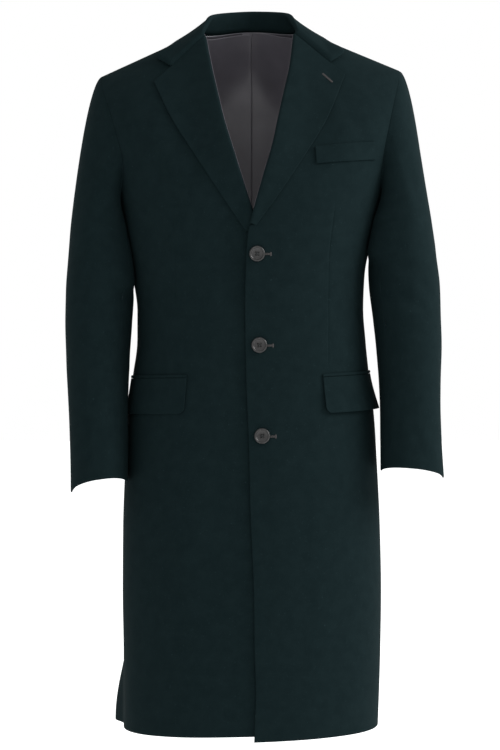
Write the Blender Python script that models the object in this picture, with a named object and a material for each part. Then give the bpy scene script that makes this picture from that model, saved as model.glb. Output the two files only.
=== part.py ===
"""A single-breasted topcoat with notched lapels, filled out as it is worn, with nobody in it.

Every piece a tailor would cut is a thin closed wall of its own. The body of the coat is one
smooth form: a section for each height, closed over at the shoulder line. Fronts and backs are
patches of that form, the collar, lapels, pockets and lining lie on it, and the sleeves start
from its armholes. Metres, +Z up. The wearer looks along -Y, so the wearer's left is at +X.
The origin lies between the shoulders, where the wearer holds the coat up.
"""
import math

import bpy
import numpy as np

# Cloth
BODY_CLOTH = 0.0024
SLEEVE_CLOTH = 0.0022
LAPEL_CLOTH = 0.0024
COLLAR_CLOTH = 0.0024
POCKET_CLOTH = 0.0020
LINING_CLOTH = 0.0010
SEAM = 0.0003

# Heights of the main lines
HEM_SIDE_LEFT = -1.059
HEM_SIDE_RIGHT = -1.063
HEM_FRONT_LEFT = -1.066
HEM_FRONT_RIGHT = -1.057
HEM_BACK = -1.066
UNDERARM = -0.247
BREAK_LEFT = -0.294
BREAK_RIGHT = -0.316
NECKLINE_BACK = 0.0380
NECKLINE_DIP = 0.0030
VENT_TOP = -0.600
VENT_LAP = 0.040
VENT_DEPTH = 0.0040
VENT_FADE = 0.070
VENT_STEP = 0.004

# The body's sections, from the hem up
SQUARENESS = 2.4
# height, half width at the wearer's right, half width at the left, front depth, back depth
BODY = (
    (-1.070, 0.1985, 0.2005, 0.158, 0.150),
    (-0.950, 0.1985, 0.2045, 0.154, 0.147),
    (-0.850, 0.2000, 0.2060, 0.150, 0.143),
    (-0.750, 0.1995, 0.2040, 0.145, 0.137),
    (-0.650, 0.1960, 0.1993, 0.140, 0.130),
    (-0.580, 0.1925, 0.1950, 0.137, 0.124),
    (-0.510, 0.1840, 0.1865, 0.134, 0.114),
    (-0.460, 0.1775, 0.1815, 0.132, 0.107),
    (-0.410, 0.1770, 0.1780, 0.132, 0.103),
    (-0.360, 0.1830, 0.1800, 0.134, 0.106),
    (-0.300, 0.1940, 0.1920, 0.138, 0.114),
    (-0.247, 0.2040, 0.2060, 0.140, 0.122),
    (-0.180, 0.2210, 0.2250, 0.136, 0.127),
    (-0.110, 0.2360, 0.2390, 0.128, 0.126),
    (-0.050, 0.2490, 0.2500, 0.120, 0.120),
    (0.070, 0.2560, 0.2560, 0.110, 0.112),
)

# Shoulder line: straight from the neck to the sleeve, with its seam just behind the middle
NECK_POINT = 0.082
NECK_ROUNDING = 0.050
SHOULDER_AT_MIDDLE = 0.0655
SHOULDER_SLOPE = 0.435
SHOULDER_SEAM_Y = 0.008
# The left shoulder is carried a little higher than the right, and the hem hangs level
LEAN = 0.0213
LEAN_FADES_FROM = -0.25
LEAN_GONE_AT = -1.05

# How far below the shoulder line the form reaches its full depth
# distance from the middle, at the front, at the back
SHOULDER_REACH = (
    (0.000, 0.260, 0.105),
    (0.080, 0.255, 0.150),
    (0.150, 0.180, 0.130),
    (0.240, 0.085, 0.085),
)
FRONT_ROUNDING = 1.45
BACK_ROUNDING = 2.0

# Near its side the back hem rises with this power of the way across
HEM_SLANT = 4

# The back skirt swings out behind the right side seam, towards the hem
FLARE = 0.031
FLARE_FROM = -0.925
FLARE_FULL_AT = -1.063
FLARE_WIDTH = math.radians(52)

# Armhole edge: share of the way from the underarm to the shoulder tip,
# then its distance from the middle at the right front, left front, right back, left back
ARMHOLE = (
    (0.00, 0.2040, 0.2060, 0.2040, 0.2060),
    (0.12, 0.1990, 0.2040, 0.2020, 0.2060),
    (0.30, 0.1965, 0.2068, 0.2035, 0.2085),
    (0.46, 0.2043, 0.2125, 0.2085, 0.2130),
    (0.70, 0.2190, 0.2235, 0.2200, 0.2235),
    (0.88, 0.2305, 0.2315, 0.2300, 0.2310),
    (1.00, 0.2360, 0.2360, 0.2360, 0.2360),
)
ARMHOLE_ROWS = 9
ARMHOLE_EASE = 1.3
ROLL_EASE = 0.9
COLUMN_EASE = 1.3
FRONT_COLUMNS = 16
FRONT_ROWS = 17
NECK_COLUMNS = 6
BACK_COLUMNS = 15
BACK_ROWS_AT_VENT = 9
BACK_ROWS_ABOVE_VENT = 8
FOOT_DROP = 0.0035
FOOT_STEP = 0.0008

# Front edges below the break: height, left front (it laps over), right front (under it)
FRONT_EDGE = (
    (-1.070, 0.0060, 0.0420),
    (-0.988, 0.0088, 0.0420),
    (-0.928, 0.0068, 0.0410),
    (-0.852, 0.0060, 0.0400),
    (-0.701, 0.0000, 0.0380),
    (-0.625, -0.0015, 0.0370),
    (-0.512, -0.0060, 0.0340),
    (-0.399, -0.0076, 0.0300),
    (-0.316, -0.0048, 0.0225),
    (-0.294, -0.0026, 0.0180),
)
# Under the left front the right one lies deeper: height, depth at the lap
LAP_DEPTH = (
    (-1.070, 0.0046),
    (-0.450, 0.0046),
    (-0.360, 0.0080),
    (-0.250, 0.0090),
    (-0.200, 0.0040),
    (-0.150, 0.0000),
    (0.070, 0.0000),
)
LAP_FADE = 0.110
LAP_FULL_FROM = 0.012

# Roll lines, where the lapels fold over: height, at the left front, at the right front
ROLL_LINE = (
    (-0.330, -0.0110, -0.0260),
    (-0.294, -0.0026, -0.0143),
    (-0.266, 0.0049, -0.0050),
    (-0.213, 0.0197, 0.0121),
    (-0.157, 0.0357, 0.0293),
    (-0.122, 0.0428, 0.0397),
    (-0.078, 0.0523, 0.0498),
    (-0.035, 0.0615, 0.0592),
    (0.018, 0.0680, 0.0692),
)
# Outer edges of the lapels from the break to the tip, and the seam and step at their top
# distance and height at the left, distance and height at the right
LAPEL_EDGE = (
    (0.0090, -0.2855, 0.0065, -0.2945),
    (0.0250, -0.2640, 0.0260, -0.2650),
    (0.0393, -0.2450, 0.0484, -0.2310),
    (0.0805, -0.1840, 0.0806, -0.1804),
    (0.1180, -0.1224, 0.1211, -0.1153),
    (0.1475, -0.0494, 0.1489, -0.0544),
)
NOTCH = (0.1240, -0.0265)
GORGE_START = 0.0180
GORGE_DROP = 0.0040
GORGE_SEAM = 0.00042
LAPEL_ROWS = 12
LAPEL_FOOT_RISE = 0.004
LEAF_SHARES = (0.18, 0.36, 0.54, 0.72, 0.86, 1.0)
COLLAR_CORNER = (0.1432, -0.0152)

# Folds of lapels and collar
ROLL_RADIUS = 0.0032
ROLL_RADIUS_AT_FOOT = 0.0022
FOOT_FOLD_SHARE = 0.33
ROLL_INSET = 0.0057
ROLL_INSET_PANEL = 0.0065
FOLD_STEPS = 6
REST_GAP = 0.0009

# Collar, from the gorge round to the middle of the back. Its stand starts from the neckline.
# place, then distance, y and height of its crest, then of its outer edge. The last row mirrors
# the one before the middle, so that the collar runs level through the middle.
COLLAR = (
    (0.00, 0.0705, -0.0210, 0.0215, 0.1432, -0.0252, -0.0152),
    (0.22, 0.0655, -0.0060, 0.0415, 0.1290, -0.0150, 0.0015),
    (0.42, 0.0600, 0.0110, 0.0550, 0.1130, 0.0150, 0.0196),
    (0.70, 0.0480, 0.0405, 0.0635, 0.0850, 0.0620, 0.0080),
    (1.00, 0.0000, 0.0605, 0.0693, 0.0000, 0.0960, 0.0150),
    (1.30, -0.0480, 0.0405, 0.0635, -0.0850, 0.0620, 0.0080),
)
SHOULDER_PLACE = 0.42
NECK_MIDDLE_Y = 0.020
NECK_SEAM_RISE = 0.0007
STATIONS_TO_SHOULDER = 7
GORGE_TURN = 0.35
FALL_BEND_SHARE = 0.45
FALL_RISE = -0.0015
FALL_PUFF = -0.0025

# Sleeves from the arm's height of full width to the cuff, at rest a little bent and forward
# height, distance of the middle, y of the middle, half width, half depth, front and back raised
RIGHT_SLEEVE = (
    (-0.285, 0.2370, -0.012, 0.0450, 0.0740, 0.000),
    (-0.330, 0.2345, -0.018, 0.0505, 0.0720, 0.000),
    (-0.380, 0.2348, -0.022, 0.0532, 0.0690, 0.000),
    (-0.430, 0.2365, -0.026, 0.0520, 0.0665, 0.000),
    (-0.480, 0.2370, -0.033, 0.0495, 0.0640, 0.001),
    (-0.535, 0.2360, -0.042, 0.0480, 0.0620, 0.003),
    (-0.585, 0.2345, -0.050, 0.0465, 0.0600, 0.006),
    (-0.640, 0.2335, -0.059, 0.0450, 0.0580, 0.010),
    (-0.683, 0.2330, -0.067, 0.0440, 0.0565, 0.0137),
)
LEFT_SLEEVE = (
    (-0.280, 0.2390, -0.012, 0.0460, 0.0740, 0.000),
    (-0.325, 0.2384, -0.018, 0.0524, 0.0720, 0.000),
    (-0.375, 0.2414, -0.022, 0.0553, 0.0690, 0.000),
    (-0.425, 0.2450, -0.026, 0.0530, 0.0665, 0.000),
    (-0.475, 0.2480, -0.033, 0.0510, 0.0640, 0.001),
    (-0.525, 0.2490, -0.041, 0.0485, 0.0620, 0.003),
    (-0.570, 0.2495, -0.048, 0.0475, 0.0600, 0.005),
    (-0.620, 0.2500, -0.056, 0.0480, 0.0585, 0.008),
    (-0.668, 0.2510, -0.063, 0.0490, 0.0575, 0.0106),
)
SLEEVE_SQUARENESS = 2.2
CAP_ROWS = 7
CAP_START = (0.9, 0.35, 0.43)
CAP_START_DROP = 0.15
CAP_ROW_EASE = 1.2
CAP_START_REACH = 0.25
CAP_END_REACH = 0.95
CAP_SLIM_LEFT = 0.0063
CAP_SLIM_RIGHT = 0.0033
CUFF_OUTER_DROP = 0.57
CAP_SLIM_EASE = 1.8

# The front of a sleeve's inner side swells over the body: from and to which height, and how far
SWELL_LEFT = (-0.262, -0.345, 0.012)
SWELL_RIGHT = (-0.280, -0.385, 0.009)
SWELL_FADE = 0.022
FOREARM_SEAM_ROW = 2
HINDARM_SEAM_ROW = 4
SLEEVE_MEETS_SIDE = -0.190
SLEEVE_CLEARANCE = 0.0025
SLEEVE_CLEARANCE_AT_POCKET = 0.0052

# Pockets on each front: distance of the inner end, height of its mouth, flap's length
POCKET_INNER = {"left": 0.1105, "right": 0.0960}
POCKET_MOUTH = {"left": -0.5130, "right": -0.5150}
# How much higher each mouth is at its side end, and lower at its front end
POCKET_SLANT = {"left": (0.0010, 0.0040), "right": (0.0, 0.0)}
POCKET_END_ANGLE = math.radians(83)
JET_HEIGHT = 0.0045
FLAP_DROP = 0.0550
FLAP_CORNER = 0.010
FLAP_CORNER_ANGLES = (0.0, math.radians(0.8), math.radians(2.6))
POCKET_GAP = 0.0007
FLAP_STANDS_OFF = {"left": 0.0075, "right": 0.0014}
FLAP_INNER_SHARE = 0.4
FLAP_CURL = 1.5

# Breast welt on the left front, corners as distance and height
WELT_GAP = 0.0009
WELT = ((0.0990, -0.1661), (0.1903, -0.1575), (0.1925, -0.1850), (0.1008, -0.1930))

# Buttons
BUTTON_DIAMETER = 0.0240
BUTTON_THICKNESS = 0.0042
BUTTON_GAP = 0.0004
BUTTONS = {"top": (0.0108, -0.3282), "middle": (0.0141, -0.4669), "bottom": (0.0182, -0.6047)}
BUTTON_FACETS = 20

# Lining of the back, with a pleat down the middle
LINING_HALF_WIDTH = 0.140
LINING_FOOT = -0.360
LINING_GAP = 0.0020
LINING_BELOW_NECK = 0.0010
LINING_BELOW_SHOULDER = 0.012
LINING_EASES_OFF = 0.020
PLEAT_DEPTH = 0.014
PLEAT_GAP = 0.0011
PLEAT_EDGE = 0.002
PLEAT_FLAT = 0.012
LINING_RISE = 0.050

# Colours
WOOL = (0.0085, 0.0165, 0.0185)
SATIN = (0.030, 0.028, 0.034)
HORN = (0.050, 0.048, 0.048)


def curve(table, column, at):
    """Read a column of a table at any first value, along a smooth curve through its rows.

    The curve never overshoots a row: its slope is the harmonic mean of the two steps beside it.
    """
    rows = np.array(sorted(table), float)
    keys, values = rows[:, 0], rows[:, column]
    steps = np.diff(values) / np.diff(keys)
    before, after = steps[:-1], steps[1:]
    same_way = before * after > 0
    mean = 2 * before * after / np.where(same_way, before + after, 1)
    slopes = np.concatenate([steps[:1], np.where(same_way, mean, 0), steps[-1:]])
    at = np.clip(at, keys[0], keys[-1])
    k = np.clip(np.searchsorted(keys, at) - 1, 0, len(keys) - 2)
    span = keys[k + 1] - keys[k]
    t = (at - keys[k]) / span
    low = values[k] * (1 + 2 * t) * (1 - t) ** 2 + slopes[k] * span * t * (1 - t) ** 2
    high = values[k + 1] * t * t * (3 - 2 * t) + slopes[k + 1] * span * t * t * (t - 1)
    return low + high


def signed_power(value, power):
    """Raise the size of a value to a power and keep its sign."""
    return np.sign(value) * np.abs(value) ** power


def ease(value):
    """Smooth step from 0 to 1 over values 0 to 1."""
    value = np.clip(value, 0, 1)
    return value * value * (3 - 2 * value)


def unit(vectors):
    """Scale vectors to length 1."""
    return vectors / np.linalg.norm(vectors, axis=-1, keepdims=True)


def shoulder_height(x):
    """Height of the shoulder line over a distance from the middle, rounded off behind the neck."""
    away = np.abs(x)
    rounded = (NECK_ROUNDING + away ** 2 / NECK_ROUNDING) / 2
    return SHOULDER_AT_MIDDLE - SHOULDER_SLOPE * np.where(away < NECK_ROUNDING, rounded, away)


def half_width(x, z):
    """Half the body's width at a height, on the side that x lies on."""
    return np.where(np.asarray(x) < 0, curve(BODY, 1, z), curve(BODY, 2, z))


def angle_at(x, z):
    """Angle round a section, 0 in the middle and 90 degrees at the side, from x."""
    share = np.clip(np.abs(x) / half_width(x, z), 0, 1)
    return np.sign(x) * np.arcsin(share ** (SQUARENESS / 2))


def lean(points):
    """Carry the left shoulder higher than the right, less and less towards the hem."""
    fade = np.clip((points[..., 2] - LEAN_GONE_AT) / (LEAN_FADES_FROM - LEAN_GONE_AT), 0, 1)
    points = points.copy()
    points[..., 2] += LEAN * points[..., 0] * fade
    return points


def body_skin(angle, z, face):
    """Outer face of the body: a squared oval section, its depth drawn in to the shoulder line.

    face is -1 for the front and +1 for the back.
    """
    front = face < 0
    x = half_width(angle, z) * signed_power(np.sin(angle), 2 / SQUARENESS)
    if not front:
        way = (FLARE_FROM - z) / (FLARE_FROM - FLARE_FULL_AT)
        low = np.sin(math.pi / 2 * np.clip(way, 0, 1))
        share = np.clip((math.pi / 2 + angle) / FLARE_WIDTH, 0, 1)
        x = x - np.where(angle < 0, FLARE * low * np.sin(math.pi * share) ** 2, 0)
    depth = curve(BODY, 3 if front else 4, z)
    reach = curve(SHOULDER_REACH, 1 if front else 2, np.abs(x))
    power = FRONT_ROUNDING if front else BACK_ROUNDING
    below = (shoulder_height(x) - z) / reach
    rest = np.clip(1 - np.abs(below), 0, 1)
    full = np.sign(below) * (1 - rest ** power) ** (1 / power)
    oval = face * depth * signed_power(np.cos(angle), 2 / SQUARENESS)
    y = SHOULDER_SEAM_Y * (1 - np.abs(full)) + oval * full
    return lean(np.stack([x, y, z + 0 * x], axis=-1))


def on_body(angle, z, face, lift=0.0):
    """A point that stands lift outside the body's outer face."""
    angle, z = np.broadcast_arrays(np.asarray(angle, float), np.asarray(z, float))
    step = 1e-5
    across = body_skin(angle + step, z, face) - body_skin(angle - step, z, face)
    up = body_skin(angle, z + step, face) - body_skin(angle, z - step, face)
    outward = unit(-face * np.cross(across, up))
    return body_skin(angle, z, face) + outward * np.asarray(lift)[..., None]


def on_front(x, z, lift=0.0):
    """A point over the front at a distance from the middle and a height."""
    return on_body(angle_at(x, z), z, -1, lift)


def grid_normals(grid):
    """Unit normals of a grid of points, along rows cross columns."""
    along = np.gradient(grid, axis=0)
    across = np.gradient(grid, axis=1)
    return unit(np.cross(across, along))


def make_object(name, vertices, faces, colour, roughness):
    """Put a closed mesh into the scene with a material of its own."""
    mesh = bpy.data.meshes.new(name)
    mesh.from_pydata([tuple(v) for v in vertices], [], faces)
    mesh.update()
    mesh.shade_smooth()
    mesh.set_sharp_from_angle(angle=math.radians(40))
    thing = bpy.data.objects.new(name, mesh)
    bpy.context.scene.collection.objects.link(thing)
    material = bpy.data.materials.new(name)
    material.use_nodes = True
    shader = material.node_tree.nodes["Principled BSDF"]
    shader.inputs["Base Color"].default_value = (*colour, 1.0)
    shader.inputs["Roughness"].default_value = roughness
    shader.inputs["Metallic"].default_value = 0.0
    mesh.materials.append(material)
    return thing


def wall(name, outer, inner, colour, roughness=0.9):
    """Close the space between two grids of the same size as one thin wall.

    Seen from outside, outer's columns run to the right and its rows run up.
    """
    rows, columns = outer.shape[:2]
    count = rows * columns
    number = np.arange(count).reshape(rows, columns)
    faces = []
    for i in range(rows - 1):
        for j in range(columns - 1):
            a, b, c, d = number[i, j], number[i, j + 1], number[i + 1, j + 1], number[i + 1, j]
            faces.append((a, b, c, d))
            faces.append((count + a, count + d, count + c, count + b))
    rim = list(number[0, :]) + list(number[1:, -1])
    rim += list(number[-1, -2::-1]) + list(number[-2:0:-1, 0])
    for a, b in zip(rim, rim[1:] + rim[:1]):
        faces.append((a, count + a, count + b, b))
    faces = [tuple(int(v) for v in face) for face in faces]
    vertices = np.concatenate([outer.reshape(-1, 3), inner.reshape(-1, 3)])
    return make_object(name, vertices, faces, colour, roughness)


def turn_for_side(grid, side):
    """Run the columns to the right as seen from outside, on either side of the coat."""
    return grid if side > 0 else grid[:, ::-1]


def armhole_shares():
    """Shares of the way up the armhole, closer together at the underarm and the shoulder."""
    return (0.5 - 0.5 * np.cos(np.linspace(0, math.pi, ARMHOLE_ROWS))) ** ARMHOLE_EASE


def armhole_edge(side, face):
    """Distance and height of the armhole's edge, from the underarm to the shoulder tip."""
    share = armhole_shares()
    column = {(-1, -1): 1, (1, -1): 2, (-1, 1): 3, (1, 1): 4}[(side, face)]
    distance = curve(ARMHOLE, column, share)
    distance[0] = half_width(side, UNDERARM)
    height = UNDERARM + (shoulder_height(distance) - UNDERARM) * share
    return distance, height


def across_shares(columns):
    """Shares of the way from the middle to the side, closer together round the side."""
    return np.sin(np.linspace(0, 1, columns) ** COLUMN_EASE * math.pi / 2) ** (2 / SQUARENESS)


def lap_depth(x, z):
    """How much deeper the right front lies where the left one laps over it."""
    return curve(LAP_DEPTH, 1, z) * ease((x + LAP_FADE) / (LAP_FADE - LAP_FULL_FROM))


def lapel_foot(side):
    """Height at which the lapel starts, a little above the break."""
    return lapel_edge(side)[0, 1] + LAPEL_FOOT_RISE


def front_edge(side, z):
    """Distance of a front's free edge from the middle: its front edge, then its roll line.

    Above the lapel's foot the lapel takes up the last few millimetres with its fold.
    """
    column = 1 if side > 0 else 2
    top = BREAK_LEFT if side > 0 else BREAK_RIGHT
    edge = side * curve(FRONT_EDGE, column, z)
    roll = curve(ROLL_LINE, column, z)
    roll = roll + np.where(z > lapel_foot(side) - FOOT_DROP, ROLL_INSET_PANEL, 0)
    return np.where(z <= top, edge, roll)


def front_panel(side):
    """A front, from the hem to the shoulder seam, with its roll line and armhole."""
    hem = HEM_FRONT_LEFT if side > 0 else HEM_FRONT_RIGHT
    hem_side = HEM_SIDE_LEFT if side > 0 else HEM_SIDE_RIGHT
    top = BREAK_LEFT if side > 0 else BREAK_RIGHT
    foot = lapel_foot(side) - FOOT_DROP
    low = np.concatenate([np.linspace(hem, top, FRONT_ROWS), [foot - FOOT_STEP, foot + FOOT_STEP]])
    arm_x, arm_z = armhole_edge(side, -1)

    # The inner boundary climbs the roll line while the outer one climbs the armhole
    climb = np.linspace(0, 1, ARMHOLE_ROWS) ** ROLL_EASE
    inner_z = np.concatenate([low, UNDERARM + (GORGE_START - GORGE_DROP - UNDERARM) * climb])
    inner_x = front_edge(side, inner_z)
    inner_x[-1], inner_z[-1] = NECK_POINT, shoulder_height(NECK_POINT)
    outer_low = hem_side + (low - hem) / (low[-1] - hem) * (low[-1] - hem_side)
    outer_x = np.concatenate([half_width(side, outer_low), arm_x])
    outer_z = np.concatenate([outer_low, arm_z])

    u = across_shares(FRONT_COLUMNS)[None, :]
    distance = inner_x[:, None] + (outer_x - inner_x)[:, None] * u
    z = inner_z[:, None] + (outer_z - inner_z)[:, None] * u
    x = side * distance
    angle = angle_at(x, z)
    angle[:len(low) + 1, -1] = side * math.pi / 2
    depth = lap_depth(x, z) if side < 0 else 0 * x
    outer = on_body(angle, z, -1, -depth)
    inner = on_body(angle, z, -1, -depth - BODY_CLOTH)
    for grid in (outer, inner):
        grid[-1, :, 1] -= SEAM / 2
        grid[:len(low) + 1, -1, 1] -= SEAM / 2
    name = "front_left" if side > 0 else "front_right"
    wall(name, turn_for_side(outer, side), turn_for_side(inner, side), WOOL)


def neckline(distance):
    """Height of the back neckline, almost level, from the middle out to the neck point."""
    share = np.clip(distance / NECK_POINT, 0, 1) ** 2
    level = NECKLINE_BACK + (shoulder_height(NECK_POINT) - NECKLINE_BACK) * share
    return level - NECKLINE_DIP * 4 * share * (1 - share)


def neck_columns():
    """Distances of the points along the back neckline, from the middle out to the neck point."""
    return NECK_POINT * np.sin(np.linspace(0, math.pi / 2, NECK_COLUMNS + 1))


def back_rows():
    """A back's rows: heights below the underarm, then shares of the way from there to its top."""
    low = np.concatenate([np.linspace(HEM_BACK, VENT_TOP - VENT_STEP, BACK_ROWS_AT_VENT),
                          np.linspace(VENT_TOP, UNDERARM, BACK_ROWS_ABOVE_VENT)[:-1]])
    return low, armhole_shares()


def back_heights(distance, low, share):
    """Heights of the points in a back's rows, up to its neckline and its shoulder seam."""
    rise = np.concatenate([np.zeros(len(low)), share])[:, None]
    start = np.concatenate([low, np.full(len(share), UNDERARM)])[:, None]
    top = np.where(distance < NECK_POINT, neckline(distance), shoulder_height(distance))
    return start + (top - start) * rise


def back_panel(side):
    """A back. The right one goes on under the left along the vent."""
    low, share = back_rows()
    arm_x, _ = armhole_edge(side, 1)
    outer_x = np.concatenate([half_width(side, low), arm_x])
    at_neck = neck_columns() / outer_x[-1]
    at_top = np.concatenate([at_neck, np.linspace(at_neck[-1], 1, BACK_COLUMNS - len(at_neck) + 1)[1:]])
    rise = np.concatenate([np.zeros(len(low)), share])[:, None]
    u = across_shares(BACK_COLUMNS) * (1 - rise) + at_top * rise
    inner_x = np.zeros(len(outer_x))
    laps = np.concatenate([low < VENT_TOP, np.zeros(len(share), bool)])
    if side < 0:
        inner_x[laps] = -VENT_LAP
    distance = inner_x[:, None] + (outer_x - inner_x)[:, None] * u
    x = side * distance
    z = back_heights(distance, low, share)
    hem_side = HEM_SIDE_LEFT if side > 0 else HEM_SIDE_RIGHT
    fade = (UNDERARM - low) / (UNDERARM - HEM_BACK)
    z[:len(low)] += (hem_side - HEM_BACK) * u[:len(low)] ** HEM_SLANT * fade[:, None]
    angle = angle_at(x, z)
    angle[:len(low) + 1, -1] = side * math.pi / 2
    depth = 0 * x
    if side < 0:
        lap = VENT_DEPTH * ease((x + VENT_FADE) / (VENT_FADE - LAP_FULL_FROM))
        deep = np.concatenate([low <= VENT_TOP, np.zeros(len(share), bool)])
        depth = np.where(deep[:, None], lap, 0)
    outer = on_body(angle, z, 1, -depth)
    inner = on_body(angle, z, 1, -depth - BODY_CLOTH)
    for grid in (outer, inner):
        grid[-1, :, 1] += SEAM / 2
        grid[:len(low) + 1, -1, 1] += SEAM / 2
        grid[~laps, 0, 0] += side * SEAM / 2
        if side > 0:
            grid[laps, 0, 0] += side * SEAM / 2
    name = "back_left" if side > 0 else "back_right"
    wall(name, turn_for_side(outer, -side), turn_for_side(inner, -side), WOOL)


def roll_lift(run, radius, thickness, length):
    """Lift of a turned-over leaf: level after the fold, then down to rest on the cloth below."""
    top = 2 * radius - thickness / 2
    rest = thickness / 2 + REST_GAP
    return top + (rest - top) * ease((run - radius) / (length - radius) * 1.1)


def roll_over(start, end, radius, thickness, inset, leaf):
    """Section of cloth turned over a roll line, as places in the plane of height and lifts.

    It starts in the plane of the cloth below, goes round the fold and runs back over it,
    along the leaf's shares of the way from start to end.
    """
    length = np.linalg.norm(end - start)
    turn = np.linspace(-math.pi / 2, -3 * math.pi / 2, FOLD_STEPS)
    run = radius + (length - radius) * np.asarray(leaf)
    runs = np.concatenate([[inset, (inset + radius) / 2], radius + radius * np.cos(turn), run])
    low = -thickness / 2
    lifts = np.concatenate([[low, low], low + radius + radius * np.sin(turn),
                            roll_lift(run, radius, thickness, length)])
    return start + (end - start) / length * runs[:, None], lifts


def thicken(name, mid, normal, thickness, side=1):
    """Give a grid of points half its thickness each way and make it a wall."""
    outer = mid + normal * thickness / 2
    inner = mid - normal * thickness / 2
    wall(name, turn_for_side(outer, side), turn_for_side(inner, side), WOOL)


def roll_start(side):
    """Where the roll line meets the gorge seam."""
    return np.array([float(curve(ROLL_LINE, 1 if side > 0 else 2, GORGE_START)), GORGE_START])


def lapel_edge(side):
    """Points down the outer edge of a lapel, from the break up to its tip."""
    column = 0 if side > 0 else 2
    return np.array([row[column:column + 2] for row in LAPEL_EDGE])


def gorge_normals(side, row, leaf_end):
    """Normals of a row of points along the gorge, the same for the lapel and the collar.

    Past leaf_end the collar turns up to its corner and keeps its last normal.
    """
    start, tip = roll_start(side), lapel_edge(side)[-1]
    middle = (start + tip) / 2
    base = on_front(side * middle[0], middle[1])
    outward = unit(on_front(side * middle[0], middle[1], 0.01) - base)
    along = on_front(side * tip[0], tip[1]) - on_front(side * start[0], start[1])
    up = np.cross(outward, along)
    normal = unit(np.cross(np.gradient(row[:leaf_end], axis=0), up))
    normal = normal * np.sign(normal[-1] @ outward)
    return np.concatenate([normal, np.repeat(normal[-1:], len(row) - leaf_end, axis=0)])


def lapel(side):
    """A lapel: the front's edge goes round the roll line and lies back over the front."""
    edge = lapel_edge(side)
    lengths = np.concatenate([[0], np.cumsum(np.linalg.norm(np.diff(edge, axis=0), axis=1))])
    shares = np.linspace(0, 1, LAPEL_ROWS)
    outer_x = np.interp(shares, lengths / lengths[-1], edge[:, 0])
    outer_z = np.interp(shares, lengths / lengths[-1], edge[:, 1])
    foot = lapel_foot(side)
    roll_z = foot + (GORGE_START - foot) * shares
    roll_x = curve(ROLL_LINE, 1 if side > 0 else 2, roll_z)
    mid = []
    for i, share in enumerate(shares):
        below = GORGE_SEAM if share == 1 else 0
        start = np.array([roll_x[i], roll_z[i] - below])
        end = np.array([outer_x[i], outer_z[i] - below])
        radius = ROLL_RADIUS_AT_FOOT + (ROLL_RADIUS - ROLL_RADIUS_AT_FOOT) * min(1, share / FOOT_FOLD_SHARE)
        inset = min(ROLL_INSET, np.linalg.norm(end - start) * 0.5)
        place, lift = roll_over(start, end, radius, LAPEL_CLOTH, inset, LEAF_SHARES)
        x = side * place[:, 0]
        depth = lap_depth(x, place[:, 1]) if side < 0 else 0 * x
        mid.append(on_front(x, place[:, 1], lift - depth))
    mid = np.array(mid)
    normal = side * grid_normals(mid)
    normal[-1] = gorge_normals(side, mid[-1], mid.shape[1])
    name = "lapel_left" if side > 0 else "lapel_right"
    thicken(name, mid, normal, LAPEL_CLOTH, side)


def keep_off_body(points, clearance):
    """Move points that are nearer the body's form than a clearance straight out of it."""
    x, y, low = points[..., 0], points[..., 1], points[..., 2] - clearance
    over = low < shoulder_height(x)
    angle = angle_at(x, low)
    front = body_skin(angle, low, -1)[..., 1] - clearance / 2
    back = body_skin(angle, low, 1)[..., 1] + clearance / 2
    y = np.where(over & (y < SHOULDER_SEAM_Y), np.minimum(y, front), y)
    y = np.where(over & (y >= SHOULDER_SEAM_Y), np.maximum(y, back), y)
    return np.stack([x, y, points[..., 2]], axis=-1)


def unlean(points):
    """Take the lean out of points again, close enough for the small collar."""
    return points * 2 - lean(points)


def gorge_row(side, leaned=True):
    """The collar's front end: along the gorge seam to the notch, then up to its corner."""
    start = roll_start(side)
    tip = lapel_edge(side)[-1]
    to_notch = np.linalg.norm(np.array(NOTCH) - start) / np.linalg.norm(tip - start)
    leaf = np.array([0.25, 0.5, 0.75, 1.0]) * to_notch
    place, lift = roll_over(start, tip, ROLL_RADIUS, COLLAR_CLOTH, ROLL_INSET, leaf)
    corner = place[-1] + (np.array(COLLAR_CORNER) - place[-1]) * np.array([0.5, 1.0])[:, None]
    place = np.concatenate([place, corner])
    lift = np.concatenate([lift, [lift[-1], lift[-1]]])
    row = on_front(side * place[:, 0], place[:, 1], lift)
    return row if leaned else unlean(row)


def neck_seam(place, side):
    """Foot of the collar's stand: over the front's neck edge to the shoulder, then the neckline."""
    ahead = place / SHOULDER_PLACE
    if ahead < 1:
        tip = lapel_edge(side)[-1]
        start = roll_start(side)
        inset = start + unit(tip - start) * ROLL_INSET
        x, z = inset + (np.array([NECK_POINT, float(shoulder_height(NECK_POINT))]) - inset) * ahead
        point = on_front(side * x, z)
    else:
        x = NECK_POINT * math.cos((place - SHOULDER_PLACE) / (1 - SHOULDER_PLACE) * math.pi / 2)
        z = float(neckline(x))
        point = on_body(angle_at(side * x, z), z, 1)
    point = unlean(point) * np.array([side, 1, 1])
    inward = unit(np.array([-point[0], NECK_MIDDLE_Y - point[1], 0]))
    return point + inward * (COLLAR_CLOTH / 2) + np.array([0, 0, NECK_SEAM_RISE])


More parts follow.
